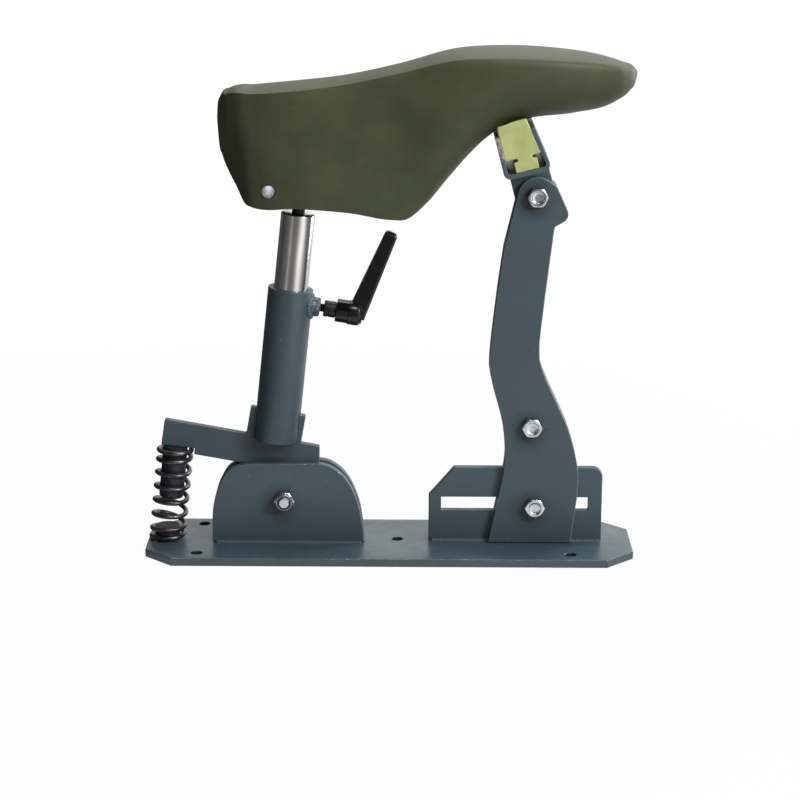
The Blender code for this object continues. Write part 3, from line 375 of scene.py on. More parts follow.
def rounded_path(corners, steps=7):
    """Closed outline through (x, z, radius) corners; each corner is an arc that touches both sides."""
    corners = np.asarray(corners, float)
    here, radius = corners[:, :2], corners[:, 2:]
    a, b = np.roll(here, 1, 0) - here, np.roll(here, -1, 0) - here
    far_a, far_b = np.linalg.norm(a, axis=1, keepdims=True), np.linalg.norm(b, axis=1, keepdims=True)
    a, b = a / far_a, b / far_b
    half = np.arccos(np.clip((a * b).sum(1, keepdims=True), -1, 1)) / 2
    reach = np.minimum(radius / np.tan(half), 0.48 * np.minimum(far_a, far_b))
    true = reach * np.tan(half)
    middle = (a + b) / np.maximum(np.linalg.norm(a + b, axis=1, keepdims=True), 1e-9)
    centre = here + middle * true / np.sin(half)
    start, end = here + a * reach - centre, here + b * reach - centre
    first = np.arctan2(start[:, 1:], start[:, :1])
    turn = (np.arctan2(end[:, 1:], end[:, :1]) - first + math.pi) % (2 * math.pi) - math.pi
    angle = first + turn * np.linspace(0, 1, steps)
    arcs = centre[:, None] + true[:, None] * np.stack([np.cos(angle), np.sin(angle)], -1)
    return arcs.reshape(-1, 2)


def inward(outline):
    """Mitred inward direction at each point of an anticlockwise outline."""
    edge = np.roll(outline, -1, 0) - outline
    edge /= np.linalg.norm(edge, axis=1, keepdims=True)
    normal = np.stack([-edge[:, 1], edge[:, 0]], 1)
    before = np.roll(normal, 1, 0)
    return (normal + before) / np.maximum(1 + (normal * before).sum(1, keepdims=True), 0.3)


def tidy(outline):
    """The outline anticlockwise, without points that repeat."""
    outline = outline[np.linalg.norm(outline - np.roll(outline, 1, 0), axis=1) > 2e-5]
    x, z = outline.T
    area = (x * np.roll(z, -1) - np.roll(x, -1) * z).sum()
    return outline if area > 0 else outline[::-1]


EASE = 0.0007
QUARTER = np.linspace(0, math.pi / 2, 6)
ARRIS = np.sin(2 * QUARTER)


def eased(ease):
    """Six steps a over a rim: it is in by ease x (1 - sin a), and its level by ease x (1 - cos a)."""
    return ease * (1 - np.sin(QUARTER)), ease * (1 - np.cos(QUARTER))


def sheet_metal(name, outline, low, high, body, finish=coat, ease=EASE, upright=True, stands_for=None):
    """Cut plate with eased rims: upright across Y from low to high, or lying down across Z.

    The rim attribute is sin 2a over each rim's quarter turn, so it is most on the arris.
    """
    outline = tidy(outline)
    inset, deep = eased(ease)
    rows_in = np.concatenate([inset, inset[::-1]])
    rows_y = np.concatenate([low + deep, high - deep[::-1]])
    flat = outline[None] + rows_in[:, None, None] * inward(outline)[None]
    rows = np.insert(flat, 1 if upright else 2, rows_y[:, None], axis=2)
    rim = np.broadcast_to(np.concatenate([ARRIS, ARRIS[::-1]])[:, None], flat.shape[:2])
    return piece(name, rows, finish, body, 2, rim, stands_for=stands_for)


def turned(name, start, direction, profile, finish, body, stands_for=None, sides=64,
           ring=False):
    """Turned piece: radius x (cos a, sin a) carried along the direction by each profile entry.

    A third number in an entry is half the distance over a hexagon's flats: the radius is then the
    smaller of the entry's own and flats / cos(a folded into one side).
    """
    profile = np.array([(*entry, 9.0) if len(entry) == 2 else entry for entry in profile])
    direction = np.array(direction, float) / np.linalg.norm(direction)
    first = np.array([0.0, 1.0, 0.0]) if abs(direction[1]) < 0.9 else np.array([0.0, 0.0, 1.0])
    first = first - (first @ direction) * direction
    first /= np.linalg.norm(first)
    second = np.cross(direction, first)
    angle = 2 * math.pi * np.arange(sides) / sides
    folded = (angle + math.pi / 6) % (math.pi / 3) - math.pi / 6
    radius = np.minimum(profile[:, 1:2], profile[:, 2:3] / np.cos(folded))
    around = np.cos(angle)[:, None] * first + np.sin(angle)[:, None] * second
    rows = np.array(start) + profile[:, :1, None] * direction + radius[..., None] * around
    return piece(name, rows, finish, body, 0 if ring else 2, stands_for=stands_for, ring=ring)


def dress(name, finish):
    """Gives a solid that is carried over from the pack its finish."""
    nodes[name].data.materials.clear()
    nodes[name].data.materials.append(finish)


def bore(made, drills, crease=35):
    """Cuts the drills out of a piece, and throws the drills away."""
    for drill in drills:
        cut = made.modifiers.new(drill.name, "BOOLEAN")
        cut.operation, cut.solver, cut.object = "DIFFERENCE", "EXACT", drill
    bpy.context.view_layer.update()
    mesh = bpy.data.meshes.new_from_object(made.evaluated_get(bpy.context.evaluated_depsgraph_get()))
    made.modifiers.clear()
    made.data = mesh
    mesh.shade_smooth()
    mesh.set_sharp_from_angle(angle=math.radians(crease))
    for drill in drills:
        bpy.data.objects.remove(drill, do_unlink=True)


PLATE_TOP, GAP = 0.006, 0.0003
PLATE_X, PLATE_Y, CORNER, SCREW_R = 0.175, 0.045, 0.020, 0.004
screw_holes = [(0.0055, 0.0)] + [(x, side * 0.033) for x in (-0.1374, 0.1295) for side in (-1, 1)]
# Painted shade in the screw holes: the coat darkens on each hole's wall and countersink.
hole_shade = [((x, y, 0.0), SCREW_R + 0.0001, SCREW_R + 0.0006, 1.0) for x, y in screw_holes]
plate_coat = powder_coat("base plate coat", dust=0.8, satin=0.26, foot_shade=0.0, across=(1.0, 1.0, 0.0),
                         painted_shadows=hole_shade)
corners = [(-PLATE_X, CORNER - PLATE_Y), (CORNER - PLATE_X, -PLATE_Y), (PLATE_X - CORNER, -PLATE_Y),
           (PLATE_X, CORNER - PLATE_Y)]
corners += [(-x, -y) for x, y in corners]
plate = sheet_metal("base plate", rounded_path([(x, y, 0.0012) for x, y in corners]), 0.0, PLATE_TOP,
                    "stand", plate_coat, upright=False)
sunk = 0.0005
profile = [(-0.001, SCREW_R), (PLATE_TOP - sunk, SCREW_R), (PLATE_TOP + 0.001, SCREW_R + sunk + 0.001)]
bore(plate, [turned("screw hole", (x, y, 0), (0, 0, 1), profile, plate_coat, None,
                    sides=40) for x, y in screw_holes])


# Hinge: two 6 mm cheeks stand on the base, welded along their feet, and an M8 bolt through both
# carries the rocker. Its zinc lock nut in front shows a dark blue nylon ring and the bolt's end.
SHEET_MIDDLE, SHEET_IN, SHEET_OUT, FLATS = 0.003, 0.0033, 0.0093, 0.0065
PIVOT = np.array([-0.0755, 0.0385])
CHEEK = MM * np.array([
    (-52.2, 0.0), (-52.2, 12.0), (-51.8, 23.7), (-49.5, 35.8), (-45.8, 45.0), (-41.0, 52.8),
    (-34.0, 57.0), (-22.0, 58.7), (0.0, 59.0), (21.0, 59.0), (29.0, 58.3), (35.6, 55.4),
    (42.5, 49.7), (47.8, 41.8), (51.3, 33.6), (54.1, 24.4), (56.0, 13.0), (57.2, 0.0),
])
RIPPLE, WELD_IN = 0.0019, 0.0015
ZINC = (0.66, 0.68, 0.70)
NYLON = (0.030, 0.030, 0.150)


def smooth_path(knots, steps):
    """Catmull-Rom curve: each stretch is the cubic that passes its two knots along their chords."""
    k = np.concatenate([[2 * knots[0] - knots[1]], knots, [2 * knots[-1] - knots[-2]]])
    a, b, c, d = (k[i:len(k) - 3 + i, None, :] for i in range(4))
    t = np.linspace(0, 1, steps + 1)[None, :-1, None]
    bend = (c - a) * t + (2 * a - 5 * b + 4 * c - d) * t**2 + (3 * b - a - 3 * c + d) * t**3
    return np.concatenate([(b + bend / 2).reshape(-1, 2), knots[-1:]])


def weld_bead(name, path, out, up, body, leg, closed=False):
    """Fillet weld along a path: a quarter-round section on the out and up directions.

    Its radius is leg x (1 + 0.07 sin(phase)), where the phase grows with length, one turn each
    ripple, and lags in the middle of the section, so that the ripples lie as crescents.
    """
    stride = np.linalg.norm(np.diff(path, axis=0), axis=1)
    along = np.concatenate([[0.0], np.cumsum(stride)])[:, None]
    turn = np.linspace(0.0, math.pi / 2, 9)[None, :]
    phase = 2 * math.pi * (along + 0.0008 * np.sin(2 * turn)) / RIPPLE
    size = leg * (1 + 0.07 * np.sin(phase) + 0.05 * np.sin(along / 0.0043))
    if not closed:
        to_end = np.minimum(along, along[-1] - along) / leg
        size = size * np.sqrt(np.clip(1 - (1 - np.clip(to_end, 0, 1)) ** 2, 0.01, 1))
    out, up = (np.broadcast_to(way, path.shape)[:, None] for way in (out, up))
    across, rise = (size * np.cos(turn))[..., None] * out, (size * np.sin(turn))[..., None] * up
    root_line = path[:, None] - 0.0004 * (out + up)
    rows = np.concatenate([path[:, None] + across + rise, root_line], 1)
    return piece(name, rows, coat, body, 0 if closed else 2, crease=60, ring=closed)


def weld_pair(name, seam, face, up, body, leg):
    """A bead in front of a plate and one behind it, along an (x, z) seam on its faces at -y and y."""
    for side, which in ((-1, "front"), (1, "back")):
        path = np.insert(seam, 1, side * face, axis=1)
        weld_bead(f"{name} weld {which}", path, (0, side, 0), up, body, leg)


def bolt_shadow(x, z, gone):
    """Painted shadow round a bolt, a little below it and to its left, where its cast shadow falls."""
    return (x - 0.003, 0, z - 0.003), 0.006, gone, 0.65


cheek = smooth_path(CHEEK + (PIVOT[0], PLATE_TOP + GAP), 9)
# The cheeks carry a painted shadow round the pivot nut.
cheek_coat = powder_coat("cheek coat", painted_shadows=[bolt_shadow(*PIVOT, 0.020)])
sheet_metal("cheek front", cheek, -SHEET_OUT, -SHEET_IN, "stand", cheek_coat,
            stands_for="hinge_cheek_front")
sheet_metal("cheek back", cheek, SHEET_IN, SHEET_OUT, "stand", cheek_coat,
            stands_for="hinge_cheek_back")
feet = [(PIVOT[0] + x, PLATE_TOP) for x in (CHEEK[0, 0] + WELD_IN, CHEEK[-1, 0] - WELD_IN)]
weld_pair("cheek", np.linspace(*feet, 360), SHEET_OUT, (0, 0, 1), "stand", 0.0017)

# Bright zinc plate: a slow cloudy tint, and pits and spangle of about 0.3 mm.
zinc, root, place = new_finish("bright zinc")
cloud = noise(place, 180.0, 3.0)
pit = noise(place, 3600.0, 2.0, 0.6)
spangle = root.node("TexVoronoi", {"feature": "F1"}, {"Vector": place, "Scale": 2100.0})
close_finish(root, tint(step(cloud, 0.35, 0.7), 0.72 * np.array(ZINC), ZINC),
             0.22 + 0.12 * step(cloud, 0.4, 0.75) + 0.05 * pit, 0.6 * pit + 0.4 * spangle, 0.00003,
             {"Metallic": 1.0})


def hex_screw(name, x, z, face, past, body):
    """Hexagon screw whose head bears on the plane y = face, on the side away from y = 0.

    Its end stands out past the opposite face, and three turned ridges there show its thread.
    """
    f, length = FLATS, 2 * abs(face) + past
    head = [
        (-0.0041, 0.0004), (-0.00405, f * 0.30), (-0.0042, f * 0.56), (-0.0046, f * 0.66),
        (-0.0052, f * 0.71), (-0.0053, f * 0.75), (-0.0053, f * 0.90), (-0.00525, f * 0.935),
        (-0.0051, f * 0.985, f), (-0.0049, f * 1.040, f), (-0.0047, f * 1.100, f),
        (-0.0044, f * 1.2, f), (-0.0005, f * 1.2, f), (-0.0002, f * 1.10, f), (0.0, f * 1.02, f),
        (0.0, 0.004),
    ]
    end = [(length - back, radius) for back, radius in (
        (0.0026, 0.0040), (0.0022, 0.0036), (0.0018, 0.0040), (0.0014, 0.0036), (0.0010, 0.0040),
        (0, 0.0033))]
    turned(name, (x, face, z), (0, -face, 0), head + end, zinc, body, sides=72)


def hex_nut(name, x, z, face, body, crown=False):
    """Hexagon nut on the plane y = face; a lock nut ends in a rolled crown round its nylon ring."""
    f = FLATS
    rows = [(0.0, 0.0043), (0.0, f * 1.0, f), (0.0003, f * 1.08, f), (0.0006, f * 1.2, f)]
    if crown:
        rows += [(0.0046, f * 1.2, f), (0.0050, f * 1.12, f), (0.0053, f * 1.04, f), (0.0056, 0.0062),
                 (0.0062, 0.0061), (0.0072, 0.0060), (0.0077, 0.0058), (0.0080, 0.0055),
                 (0.0080, 0.0053), (0.0076, 0.00512), (0.0060, 0.00512), (0.0060, 0.0043)]
    else:
        rows += [(0.0060, f * 1.2, f), (0.0064, f * 1.09, f), (0.0067, f * 1.01, f),
                 (0.0068, f * 0.95), (0.0068, f * 0.72), (0.0060, 0.0043)]
    turned(name, (x, face, z), (0, face, 0), rows, zinc, body, sides=72, ring=True)


face = SHEET_OUT + GAP
hex_screw("pivot bolt", *PIVOT, face, 0.0095, "stand")
hex_nut("pivot lock nut", *PIVOT, -face, "stand", crown=True)
nylon, root, place = new_finish("nylon ring")
close_finish(root, tint(noise(place, 900.0), NYLON, (0.05, 0.05, 0.24)),
             0.35 + 0.2 * noise(place, 2600.0), noise(place, 2600.0), 0.00002,
             {"Subsurface Weight": 0.15, "Subsurface Radius": (0.001, 0.001, 0.002)})
ring = [(0.0061, 0.0040), (0.0061, 0.0050), (0.0073, 0.0050), (0.0076, 0.0048), (0.0077, 0.0045),
        (0.0076, 0.0041), (0.0074, 0.0040)]
turned("nylon ring", (PIVOT[0], -face, PIVOT[1]), (0, -1, 0), ring, nylon, "stand",
       "lock_nut_ring", sides=72, ring=True)


# Rocker: a 6 mm lever plate hangs on the pivot bolt, and the tube is slipped over its tab and
# welded. The spring's guide post is under the lever's far end.
TILT, SLOPE = math.radians(6.0), math.radians(10.1)
TUBE_FOOT = np.array([-0.0863, 0.0, 0.0385])
TUBE_AXIS = np.array([math.sin(TILT), 0.0, math.cos(TILT)])
TUBE_ACROSS = np.array([math.cos(TILT), 0.0, -math.sin(TILT)])
TUBE_LOW, TUBE_HIGH, TUBE_R, TUBE_BORE = 0.0430, 0.1550, 0.0160, 0.0123
SPRING_OUT, SPRING_SEAT = 0.0713, 0.0304
LEVER_LEFT, LEVER_RIGHT, LEVER_LOW, LEVER_TOP = 0.0945, 0.018, 0.0198, 0.0419
TAB_LEFT, TAB_RIGHT, TAB_TOP, EYE_REACH = 0.0353, 0.0045, 0.0625, 0.015
SEAM_OUT, SEAM_TOPS = 0.0157, {"left": (-1, 0.0648), "right": (1, 0.0619)}


def on_tube(across, along):
    """(x, z) of a place in the tube's leaning frame."""
    return (TUBE_FOOT + across * TUBE_ACROSS + along * TUBE_AXIS)[[0, 2]]


def on_lever(out, up):
    """(x, z) of a place in the lever's sloping frame, which starts at the pivot."""
    c, s = math.cos(SLOPE), math.sin(SLOPE)
    return PIVOT + (out * c + up * s, up * c - out * s)


notch = on_tube(0.0141 - SPRING_OUT, SPRING_SEAT)
notch_out = (notch - PIVOT) @ (math.cos(SLOPE), -math.sin(SLOPE))
lever = [(*on_tube(-SPRING_OUT - 0.0102, SPRING_SEAT), 0.0009), (*notch, 0.0006)]
lever += [(*on_lever(out, up), radius) for out, up, radius in (
    (notch_out, LEVER_LOW, 0.0012), (-1.6 * EYE_REACH, LEVER_LOW, 0.006),
    (-EYE_REACH, -EYE_REACH, 0.012), (EYE_REACH, -EYE_REACH, 0.012),
    (1.5 * EYE_REACH, EYE_REACH, 0.010), (LEVER_RIGHT, LEVER_TOP, 0.001),
    (TAB_RIGHT, LEVER_TOP, 0.001), (TAB_RIGHT, TAB_TOP, 0.001), (-TAB_LEFT, TAB_TOP, 0.001),
    (-TAB_LEFT, LEVER_TOP, 0.001), (-LEVER_LEFT, LEVER_TOP, 0.0015))]
# The lever's coat is a darker painted-shade copy, with a painted shadow on the plate under the tube's
# foot.
foot_x, foot_z = on_tube(-0.006, TUBE_LOW - 0.001)
lever_coat = powder_coat("lever coat", shade=0.86, painted_shadows=[((foot_x, 0, foot_z), 0.013, 0.027, 0.7)])
sheet_metal("lever plate", rounded_path(lever), -SHEET_MIDDLE, SHEET_MIDDLE, "rocker", lever_coat,
            stands_for="rocker_lever")
a = np.linspace(0, math.pi / 2, 5)
lip_r, lip_h = 0.0008 * (1 - np.cos(a)), 0.0008 * (1 - np.sin(a))
tube = [(TUBE_LOW, TUBE_BORE), (TUBE_LOW, TUBE_R - 0.0004), (TUBE_LOW + 0.0002, TUBE_R - 0.0001),
        (TUBE_LOW + 0.0005, TUBE_R), *zip(TUBE_HIGH - lip_h, TUBE_R - lip_r),
        (TUBE_HIGH, TUBE_BORE + 0.0004), (TUBE_HIGH - 0.0004, TUBE_BORE)]
# The tube's coat is a darker painted-shade copy of the same coat.
tube_coat = powder_coat("tube coat", shade=0.80, satin=0.36)
turned("socket tube", TUBE_FOOT, TUBE_AXIS, tube, tube_coat, "rocker", sides=128,
       ring=True)
for edge, (way, top) in SEAM_TOPS.items():
    along = np.linspace(TUBE_LOW + 0.001, top, 130)[:, None]
    for side, which in ((-1, "front"), (1, "back")):
        seam = TUBE_FOOT + along * TUBE_AXIS + way * SEAM_OUT * TUBE_ACROSS
        seam = seam + (0, side * SHEET_MIDDLE, 0)
        weld_bead(f"tab weld {edge} {which}", seam, way * TUBE_ACROSS, (0, side, 0), "rocker", 0.0011)
post_seat = TUBE_FOOT - SPRING_OUT * TUBE_ACROSS + (SPRING_SEAT - GAP) * TUBE_AXIS
post = [(0.0, 0.0088), (0.0366, 0.0088), (0.0374, 0.0086), (0.0379, 0.0081), (0.0380, 0.0074)]
dark_coat = powder_coat("post coat", coat=(0.014, 0.020, 0.032), dust=0.2)
turned("spring post", post_seat, -TUBE_AXIS, post, dark_coat, "rocker",
       "spring_guide_post")

# The clamp's boss is a short threaded bush, welded on the tube a little crooked. Its cut end and
# the bead round it took the powder unevenly, so it shows rough and mottled.
CLAMP_TILT, CLAMP_HIGH = math.radians(9.0), 0.1441
CLAMP_START = TUBE_FOOT + CLAMP_HIGH * TUBE_AXIS
CLAMP_ALONG = np.array([math.cos(CLAMP_TILT), 0.0, -math.sin(CLAMP_TILT)])
BOSS_R, BOSS_BORE = 0.0068, 0.0033
rough_coat, root, place = new_finish("rough boss coat")
scale = root.node("TexVoronoi", {"feature": "SMOOTH_F1"}, {"Vector": place, "Scale": 620.0})
spatter = noise(place, 420.0, 4.0, 0.7)
close_finish(root, tint(step(spatter, 0.52, 0.66), (0.045, 0.068, 0.082), PALE_DUST_AND_HIGHLIGHT),
             0.36 + 0.3 * spatter, spatter + 0.5 * scale, 0.0006, {"IOR": 1.5})
boss = [(0.0137, BOSS_BORE), (0.0137, BOSS_R), (0.0206, BOSS_R), (0.0213, BOSS_R - 0.0003),
        (0.0218, BOSS_R - 0.0009), (0.0220, BOSS_R - 0.0018), (0.0220, BOSS_BORE + 0.0004),
        (0.0216, BOSS_BORE)]
turned("clamp boss", CLAMP_START, CLAMP_ALONG, boss, rough_coat, "rocker", ring=True)
turn = np.linspace(0, 2 * math.pi, 160, endpoint=False)[:, None]
sideways = np.sin(turn) * np.array([0, 1.0, 0])
outwards = sideways + np.cos(turn) * np.array([0, 0, 1.0])
flank = np.sqrt(TUBE_R**2 - (BOSS_R * np.sin(turn)) ** 2)
seam = CLAMP_START + flank * TUBE_ACROSS + BOSS_R * (sideways + np.cos(turn) * TUBE_AXIS)
seam = seam - 0.0010 * TUBE_ACROSS - np.array([0, 0, 0.0009])
weld_bead("boss weld", seam, outwards, CLAMP_ALONG, "rocker", 0.0026, closed=True)


# Return spring: 3.5 mm oiled spring wire in 7.6 turns with closed ends. It stands over a boss on
# the base and bears on the lever's notch.
WIRE, SPRING_R, TURNS, SPRING_LEAN = 0.0035, 0.0134, 7.6, math.radians(13)
SPRING_START = math.radians(162)
OILED = (0.140, 0.130, 0.118)


def wire_rows(path, side):
    """Round wire: wire/2 x (cos a x side + sin a x up) round each place of the path, domed ends.

    The side vectors are made square to the path, and up is the path's own direction x side.
    """
    ahead = np.gradient(path, axis=0)
    ahead /= np.linalg.norm(ahead, axis=1, keepdims=True)
    side = side - (side * ahead).sum(1, keepdims=True) * ahead
    side /= np.linalg.norm(side, axis=1, keepdims=True)
    up = np.cross(ahead, side)
    dome = np.radians([80, 62, 42, 20])
    reach = WIRE / 2 * np.concatenate([-np.sin(dome), np.zeros(len(path)), np.sin(dome[::-1])])
    shrink = np.concatenate([np.cos(dome), np.ones(len(path)), np.cos(dome[::-1])])
    pick = np.clip(np.arange(len(reach)) - len(dome), 0, len(path) - 1)
    a = 2 * math.pi * np.arange(18) / 18
    around = np.cos(a)[:, None] * side[pick][:, None] + np.sin(a)[:, None] * up[pick][:, None]
    middle = path[pick] + reach[:, None] * ahead[pick]
    return middle[:, None] + WIRE / 2 * shrink[:, None, None] * around


spring_steel, root, place = new_finish("oiled spring steel")
film = noise(place, 150.0, 3.0)
drawn = noise(place, 2400.0, 3.0, 0.6)
colour = tint(step(film, 0.35, 0.68), (0.048, 0.044, 0.040), OILED)
close_finish(root, colour, 0.26 + 0.14 * film + 0.06 * drawn, drawn, 0.00002,
             {"Metallic": 0.9, "Coat Weight": 0.25, "Coat Roughness": 0.2})
level = PLATE_TOP + GAP + WIRE / 2
high = TUBE_FOOT - SPRING_OUT * TUBE_ACROSS + (SPRING_SEAT - GAP - WIRE / 2) * TUBE_AXIS
length = (high[2] - level) / math.cos(TILT)
low = high - length * TUBE_AXIS
turns = np.linspace(0.0, TURNS, 560)
inner = np.minimum(turns, TURNS - turns)
opened = np.clip((inner - 0.1) / 1.6, 0, 1)
opened = opened**2 * (3 - 2 * opened)
rate = WIRE + (length - WIRE * TURNS) / (opened.mean() * TURNS) * opened
climb = np.concatenate([[0.0], np.cumsum((rate[1:] + rate[:-1]) / 2 * np.diff(turns))])
lean = SPRING_LEAN * np.interp(climb / length, (0, 0.12, 0.3, 0.75, 1), (0, 0.6, 1, 1, 0.5))
across = np.stack([np.cos(lean), 0 * lean, -np.sin(lean)], 1)
angle = SPRING_START + 2 * math.pi * turns
radial = np.cos(angle)[:, None] * across + np.sin(angle)[:, None] * np.array([0, 1.0, 0])
path = low + climb[:, None] * TUBE_AXIS + (SPRING_R - WIRE / 2) * radial
spring = piece("return spring", wire_rows(path, radial), spring_steel, None)
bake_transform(spring)
boss = [(0.0, 0.0088), (0.0088, 0.0088), (0.0096, 0.0085), (0.0100, 0.0078)]
turned("spring boss", (low[0], 0, PLATE_TOP + GAP), (0, 0, 1), boss, dark_coat, "stand")


# Height rod: 24 mm bright drawn bar, chamfered, that slides in the tube and is pinched by the
# clamp's stud. The last's black pin stands in its end.
ROD_R, ROD_LOW, ROD_HIGH = 0.0120, 0.0790, 0.2090
PIN_R, PIN_TIP = 0.0045, 0.2552
BRIGHT = (0.62, 0.61, 0.60)
bright_rod, root, place = new_finish("bright rod")
upright = place.mapped(Rotation=(0.0, -TILT, 0.0))
drawn = noise(upright.mapped(Scale=(1.0, 1.0, 0.012)), 2600.0, 4.0, 0.6)
wiped = noise(upright.mapped(Scale=(1.0, 1.0, 0.1)), 300.0, 3.0)
colour = tint(step(wiped, 0.35, 0.68), (0.50, 0.485, 0.47), BRIGHT)
close_finish(root, colour, 0.12 + 0.08 * drawn + 0.06 * wiped, drawn, 0.000008, {"Metallic": 1.0})
rod = [(ROD_LOW, ROD_R - 0.001), (ROD_LOW + 0.001, ROD_R), (ROD_HIGH - 0.0009, ROD_R),
       (ROD_HIGH - 0.0006, ROD_R - 0.0001), (ROD_HIGH - 0.0001, ROD_R - 0.0006),
       (ROD_HIGH, ROD_R - 0.0009), (ROD_HIGH, 0.0050), (ROD_HIGH - 0.0004, 0.0047),
       (ROD_HIGH - 0.0200, 0.0047)]
turned("height rod", TUBE_FOOT, TUBE_AXIS, rod, bright_rod, "height_rod", sides=128)
black_steel, root, place = new_finish("black oxide steel")
bloom = noise(place, 300.0, 3.0)
pit = noise(place, 3000.0, 2.0)
close_finish(root, tint(bloom, (0.009, 0.009, 0.010), (0.030, 0.029, 0.030)),
             0.30 + 0.16 * bloom + 0.08 * pit, pit, 0.00001, {"Metallic": 0.6})
pin = [(ROD_HIGH - 0.0197, PIN_R), (PIN_TIP - 0.001, PIN_R), (PIN_TIP - 0.0003, PIN_R - 0.0005),
       (PIN_TIP, PIN_R - 0.001)]
turned("last pin", TUBE_FOOT, TUBE_AXIS, pin, black_steel, "last_pin")


# Last: one adult last, cut from olive green plastic on a copying lathe, which leaves fine rings
# across it. It stands upside down on its pin; a zinc bush lines the pull hole through its cone.
LAST_SEAT = np.array([-0.063774, 0.0, 0.252819])
KEEL = MM * np.array([
    (-56.2, 56.0), (-55.5, 45.5), (-53.0, 34.0), (-49.0, 23.5), (-43.0, 12.5), (-37.0, 1.8),
    (-33.0, 0.2), (0.0, -0.4), (36.0, -3.6), (66.0, -9.5), (74.0, -10.0), (89.0, 1.2), (104.5, 20.0),
    (116.5, 34.2), (126.5, 44.5), (138.0, 53.5), (148.8, 58.4), (160.0, 61.4), (190.0, 65.2),
    (218.0, 72.8), (228.0, 80.0), (232.2, 86.2), (233.2, 90.0),
])
RIM = MM * np.array([
    (-56.2, 61.0), (-55.6, 68.0), (-53.5, 75.0), (-48.0, 78.5), (-30.0, 79.8), (1.0, 82.6),
    (35.5, 87.3), (70.0, 94.8), (111.0, 104.8), (139.0, 106.2), (180.0, 104.6), (208.0, 101.2),
    (224.0, 97.5), (231.2, 95.5), (233.2, 93.5),
])
NEAR_FAR_WIDTH = MM * np.array([
    (-56.2, 3.0, 3.0), (-55.5, 6.6, 6.6), (-52.0, 14.0, 14.0), (-44.0, 21.8, 21.8),
    (-28.0, 28.2, 27.8), (-5.0, 31.2, 29.5), (30.0, 30.5, 26.2), (70.0, 32.2, 26.8),
    (110.0, 39.5, 36.5), (140.0, 43.2, 42.5), (165.0, 42.5, 42.8), (190.0, 37.5, 39.2),
    (210.0, 30.0, 32.5), (224.0, 20.5, 22.5), (231.0, 10.0, 11.0), (233.2, 3.0, 3.0),
])
CONE_WIDTH = MM * np.array([
    (-56.2, 0.6), (-45.5, 3.5), (-40.0, 9.0), (-35.0, 14.0), (-25.0, 17.0), (0.0, 20.0), (36.0, 18.0),
    (64.0, 12.0), (78.0, 6.0), (100.0, 2.8), (140.0, 1.6), (228.0, 1.0), (233.2, 0.6),
])
BUSH = np.array([-0.0202, 0.0, 0.0120])
BUSH_R, BUSH_BORE, RING_PITCH = 0.0050, 0.0038, 0.0011
OLIVE = (0.066, 0.075, 0.034)


def curve_through(knots, place):
    """Cubic through (place, value) knots whose slopes are the knots' own gradient."""
    at, value = knots.T
    slope = np.gradient(value, at)
    k = np.clip(np.searchsorted(at, place) - 1, 0, len(at) - 2)
    gap = at[k + 1] - at[k]
    t = (place - at[k]) / gap
    rise = (2 * t**3 - 3 * t**2 + 1) * value[k] + (3 * t**2 - 2 * t**3) * value[k + 1]
    return rise + gap * ((t**3 - 2 * t**2 + t) * slope[k] + (t**3 - t**2) * slope[k + 1])


def last_rings(place):
    """Rings of the last at places along it.

    Across the sole a ring is the share of its width, with a crown of 1 - share squared. Down each
    side it is the cone's half width plus the rest x (1 - depth ** power) ** fade, where depth goes
    from 0 at the sole to 1 at the keel, and a little less beside the sole's feather edge.
    """
    tables = KEEL, RIM, NEAR_FAR_WIDTH[:, :2], NEAR_FAR_WIDTH[:, ::2], CONE_WIDTH
    keel, rim, near, far, cone = (curve_through(table, place)[:, None] for table in tables)
    cone = np.minimum(cone, 0.9 * near)
    forepart = np.clip((place[:, None] - 0.06) / 0.05, 0, 1)
    power, fade = 1.45 + 0.75 * forepart, 0.85 - 0.37 * forepart
    share = np.linspace(-0.82, 0.82, 25)[None]
    sole_y = share * np.where(share < 0, near, far)
    sole_z = rim + 0.0022 * np.minimum(1, near / 0.03) * (1 - share**2)
    depth = (1 - np.cos(np.linspace(0.0, math.pi, 44)))[None] / 2
    swell = (1 - 0.07 * np.exp(-depth / 0.05)) * (1 - depth**power) ** fade
    side_z = rim - depth * (rim - keel)
    y = np.concatenate([sole_y, cone + (far - cone) * swell, 0 * keel,
                        (-cone - (near - cone) * swell)[:, ::-1]], 1)
    z = np.concatenate([sole_z, side_z, keel, side_z[:, ::-1]], 1)
    return np.stack([np.broadcast_to(place[:, None], y.shape), y, z], -1) + LAST_SEAT


olive, root, place = new_finish("olive last plastic")
tone = noise(place, 35.0, 3.0)
grain = noise(place, 2600.0, 2.0)
wavy = place.axis(0) + 0.0006 * noise(place, 60.0, 2.0)
rings = root.sum("SINE", wavy * (2 * math.pi / RING_PITCH), 0.0)
nick = step(noise(place, 240.0, 3.0, 0.7), 0.68, 0.74)
colour = tint(step(tone, 0.32, 0.70), (0.049, 0.057, 0.025), OLIVE)
colour = tint(nick * 0.35, colour, (0.13, 0.14, 0.10))
close_finish(root, colour, 0.44 + 0.12 * tone + 0.06 * grain,
             0.6 * grain + 0.4 * rings - 1.5 * nick, 0.00003, {"IOR": 1.42})
share = (1 - np.cos(np.linspace(0, math.pi, 190))) / 2
heel, toe = KEEL[[0, -1], 0]
last_body = piece("last", last_rings(heel + (toe - heel) * share), olive, "last",
                  crease=42, stands_for="last_body")
drill_at = LAST_SEAT + BUSH
hole = [(-0.06, BUSH_R + 0.0002), (0.06, BUSH_R + 0.0002)]
bore(last_body, [turned("pull hole", drill_at, (0, 1, 0), hole, olive, None)], 42)
front, back = (corner.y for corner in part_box("pull_hole_bush"))
reach = (back - front) / 2
